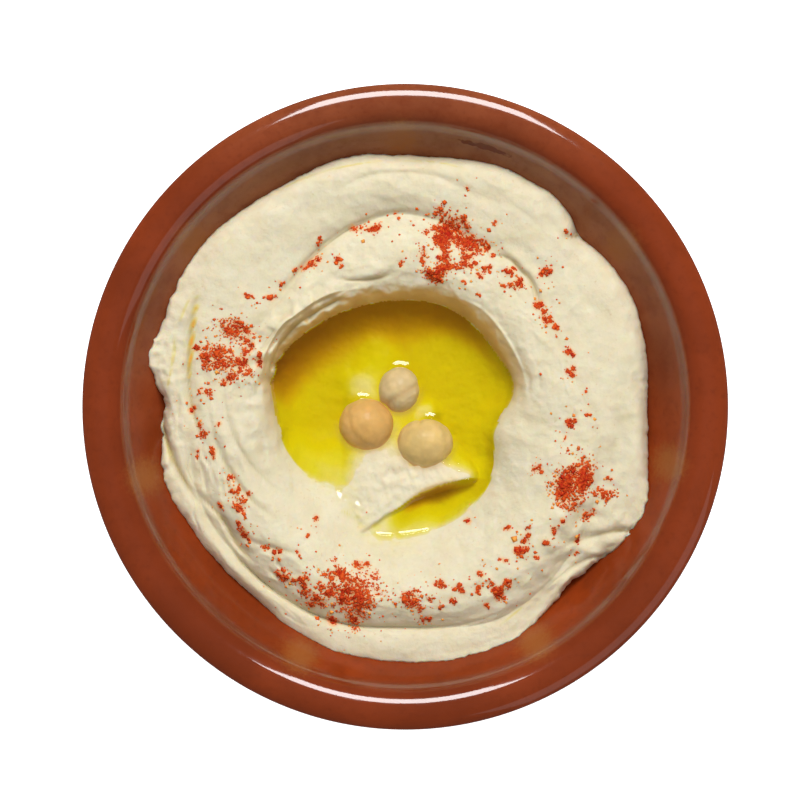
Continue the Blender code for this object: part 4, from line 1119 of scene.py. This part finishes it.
class DISH_OT_paprika(bpy.types.Operator):
    """Sprinkles the paprika over the swirl"""
    bl_idname = "dish.paprika"
    bl_label = "Paprika"

    def execute(self, context):
        settings = context.scene.dish_paprika
        rng = np.random.default_rng(SEED + 3)
        x, y = scatter()
        count = len(x)
        ball = np.array([(1, 0, 0), (-1, 0, 0), (0, 1, 0), (0, -1, 0), (0, 0, 0.45), (0, 0, -0.45)], float)
        faces = np.array([(0, 2, 4), (2, 1, 4), (1, 3, 4), (3, 0, 4), (2, 0, 5), (1, 2, 5), (3, 1, 5), (0, 3, 5)])
        size = settings.size * 0.5 * np.exp(rng.normal(size=count) * 0.35)
        spin = rng.uniform(0.0, 2.0 * np.pi, count)
        shape = ball[None] * rng.uniform(0.6, 1.3, (count, 6, 1)) * size[:, None, None]
        turned = np.stack([shape[..., 0] * np.cos(spin)[:, None] - shape[..., 1] * np.sin(spin)[:, None],
                           shape[..., 0] * np.sin(spin)[:, None] + shape[..., 1] * np.cos(spin)[:, None],
                           shape[..., 2]], axis=-1)
        height = hummus_surface(x, y) + 0.1 * size
        points = (turned + np.stack([x, y, height], axis=-1)[:, None, :]).reshape(-1, 3)
        triangles = (faces[None] + 6 * np.arange(count)[:, None, None]).reshape(-1, 3)
        grains = make_mesh("paprika_grains", points, np.zeros((0, 4), int), triangles)
        alone = np.exp(-grains_near(x, y) / 9.0)
        tone = np.clip(rng.beta(2.0, 2.0, count) * 0.7 + 0.75 * alone - 0.1, 0.0, 1.0)
        set_value(grains, "tone", np.repeat(tone, 6))
        grains.data.materials.append(paprika_material(settings))
        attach(grains, "root")
        return {"FINISHED"}


def area_light(name, bearing, elevation, distance, width, height, power):
    """A soft rectangle of light that faces the middle of the bowl."""
    data = bpy.data.lights.new(name, "AREA")
    data.shape = "RECTANGLE"
    data.size = width
    data.size_y = height
    data.energy = power
    light = bpy.data.objects.new(name, data)
    bearing, elevation = math.radians(bearing), math.radians(elevation)
    light.location = distance * Vector((math.cos(elevation) * math.cos(bearing),
                                        math.cos(elevation) * math.sin(bearing), math.sin(elevation)))
    light.rotation_mode = "QUATERNION"
    light.rotation_quaternion = (-light.location).to_track_quat("-Z", "Y")
    bpy.context.scene.collection.objects.link(light)
    return light


class DISH_OT_stage(bpy.types.Operator):
    """Sets up the pale floor, the soft lights and the camera straight above"""
    bl_idname = "dish.stage"
    bl_label = "Stage"

    def execute(self, context):
        settings = context.scene.dish_stage
        half = 3.0 / MM
        corners = np.array([(-half, -half, 0.0), (half, -half, 0.0), (half, half, 0.0), (-half, half, 0.0)])
        floor = make_mesh("floor", corners, np.array([(0, 1, 2, 3)]))
        floor.data.materials.append(floor_material(settings))
        floor.visible_glossy = False
        area_light("key light", 87.0, 52.0, 1.2, 0.62, 0.42, settings.key)
        area_light("fill light", -45.0, 35.0, 1.2, 1.0, 0.8, settings.fill)
        area_light("top light", 90.0, 87.0, 1.3, 1.2, 1.0, settings.top).visible_glossy = False
        world = bpy.data.worlds.new("surround")
        world.use_nodes = True
        world.node_tree.nodes["Background"].inputs["Color"].default_value = (1.0, 1.0, 1.0, 1.0)
        world.node_tree.nodes["Background"].inputs["Strength"].default_value = settings.world
        context.scene.world = world
        context.scene.view_settings.view_transform = "Standard"
        camera = bpy.data.objects.new("camera", bpy.data.cameras.new("camera"))
        camera.data.lens = 102.96
        camera.location = (-0.000045, 0.000376, 0.538)
        context.scene.collection.objects.link(camera)
        context.scene.camera = camera
        return {"FINISHED"}


class DISH_PT_panel(bpy.types.Panel):
    """Lists the dish's pieces and their settings"""
    bl_idname = "DISH_PT_panel"
    bl_label = "Bowl of Hummus"
    bl_space_type = "VIEW_3D"
    bl_region_type = "UI"
    bl_category = "Hummus"

    def draw(self, context):
        for name, (settings, operator) in PIECES.items():
            box = self.layout.box()
            box.operator(operator.bl_idname)
            group = getattr(context.scene, name)
            for key in settings.__annotations__:
                box.prop(group, key)


PIECES = {
    "dish_bowl": (BowlSettings, DISH_OT_bowl),
    "dish_hummus": (HummusSettings, DISH_OT_hummus),
    "dish_oil": (OilSettings, DISH_OT_oil),
    "dish_chickpeas": (ChickpeaSettings, DISH_OT_chickpeas),
    "dish_paprika": (PaprikaSettings, DISH_OT_paprika),
    "dish_stage": (StageSettings, DISH_OT_stage),
}


def register():
    for name, (settings, operator) in PIECES.items():
        bpy.utils.register_class(settings)
        bpy.utils.register_class(operator)
        setattr(bpy.types.Scene, name, PointerProperty(type=settings))
    bpy.utils.register_class(DISH_PT_panel)


def unregister():
    bpy.utils.unregister_class(DISH_PT_panel)
    for name, (settings, operator) in PIECES.items():
        delattr(bpy.types.Scene, name)
        bpy.utils.unregister_class(operator)
        bpy.utils.unregister_class(settings)


def main():
    """Makes every piece in order."""
    register()
    bpy.ops.dish.stage()
    bpy.ops.dish.bowl()
    bpy.ops.dish.hummus()
    bpy.ops.dish.oil()
    bpy.ops.dish.chickpeas()
    bpy.ops.dish.paprika()


if __name__ == "__main__":
    main()
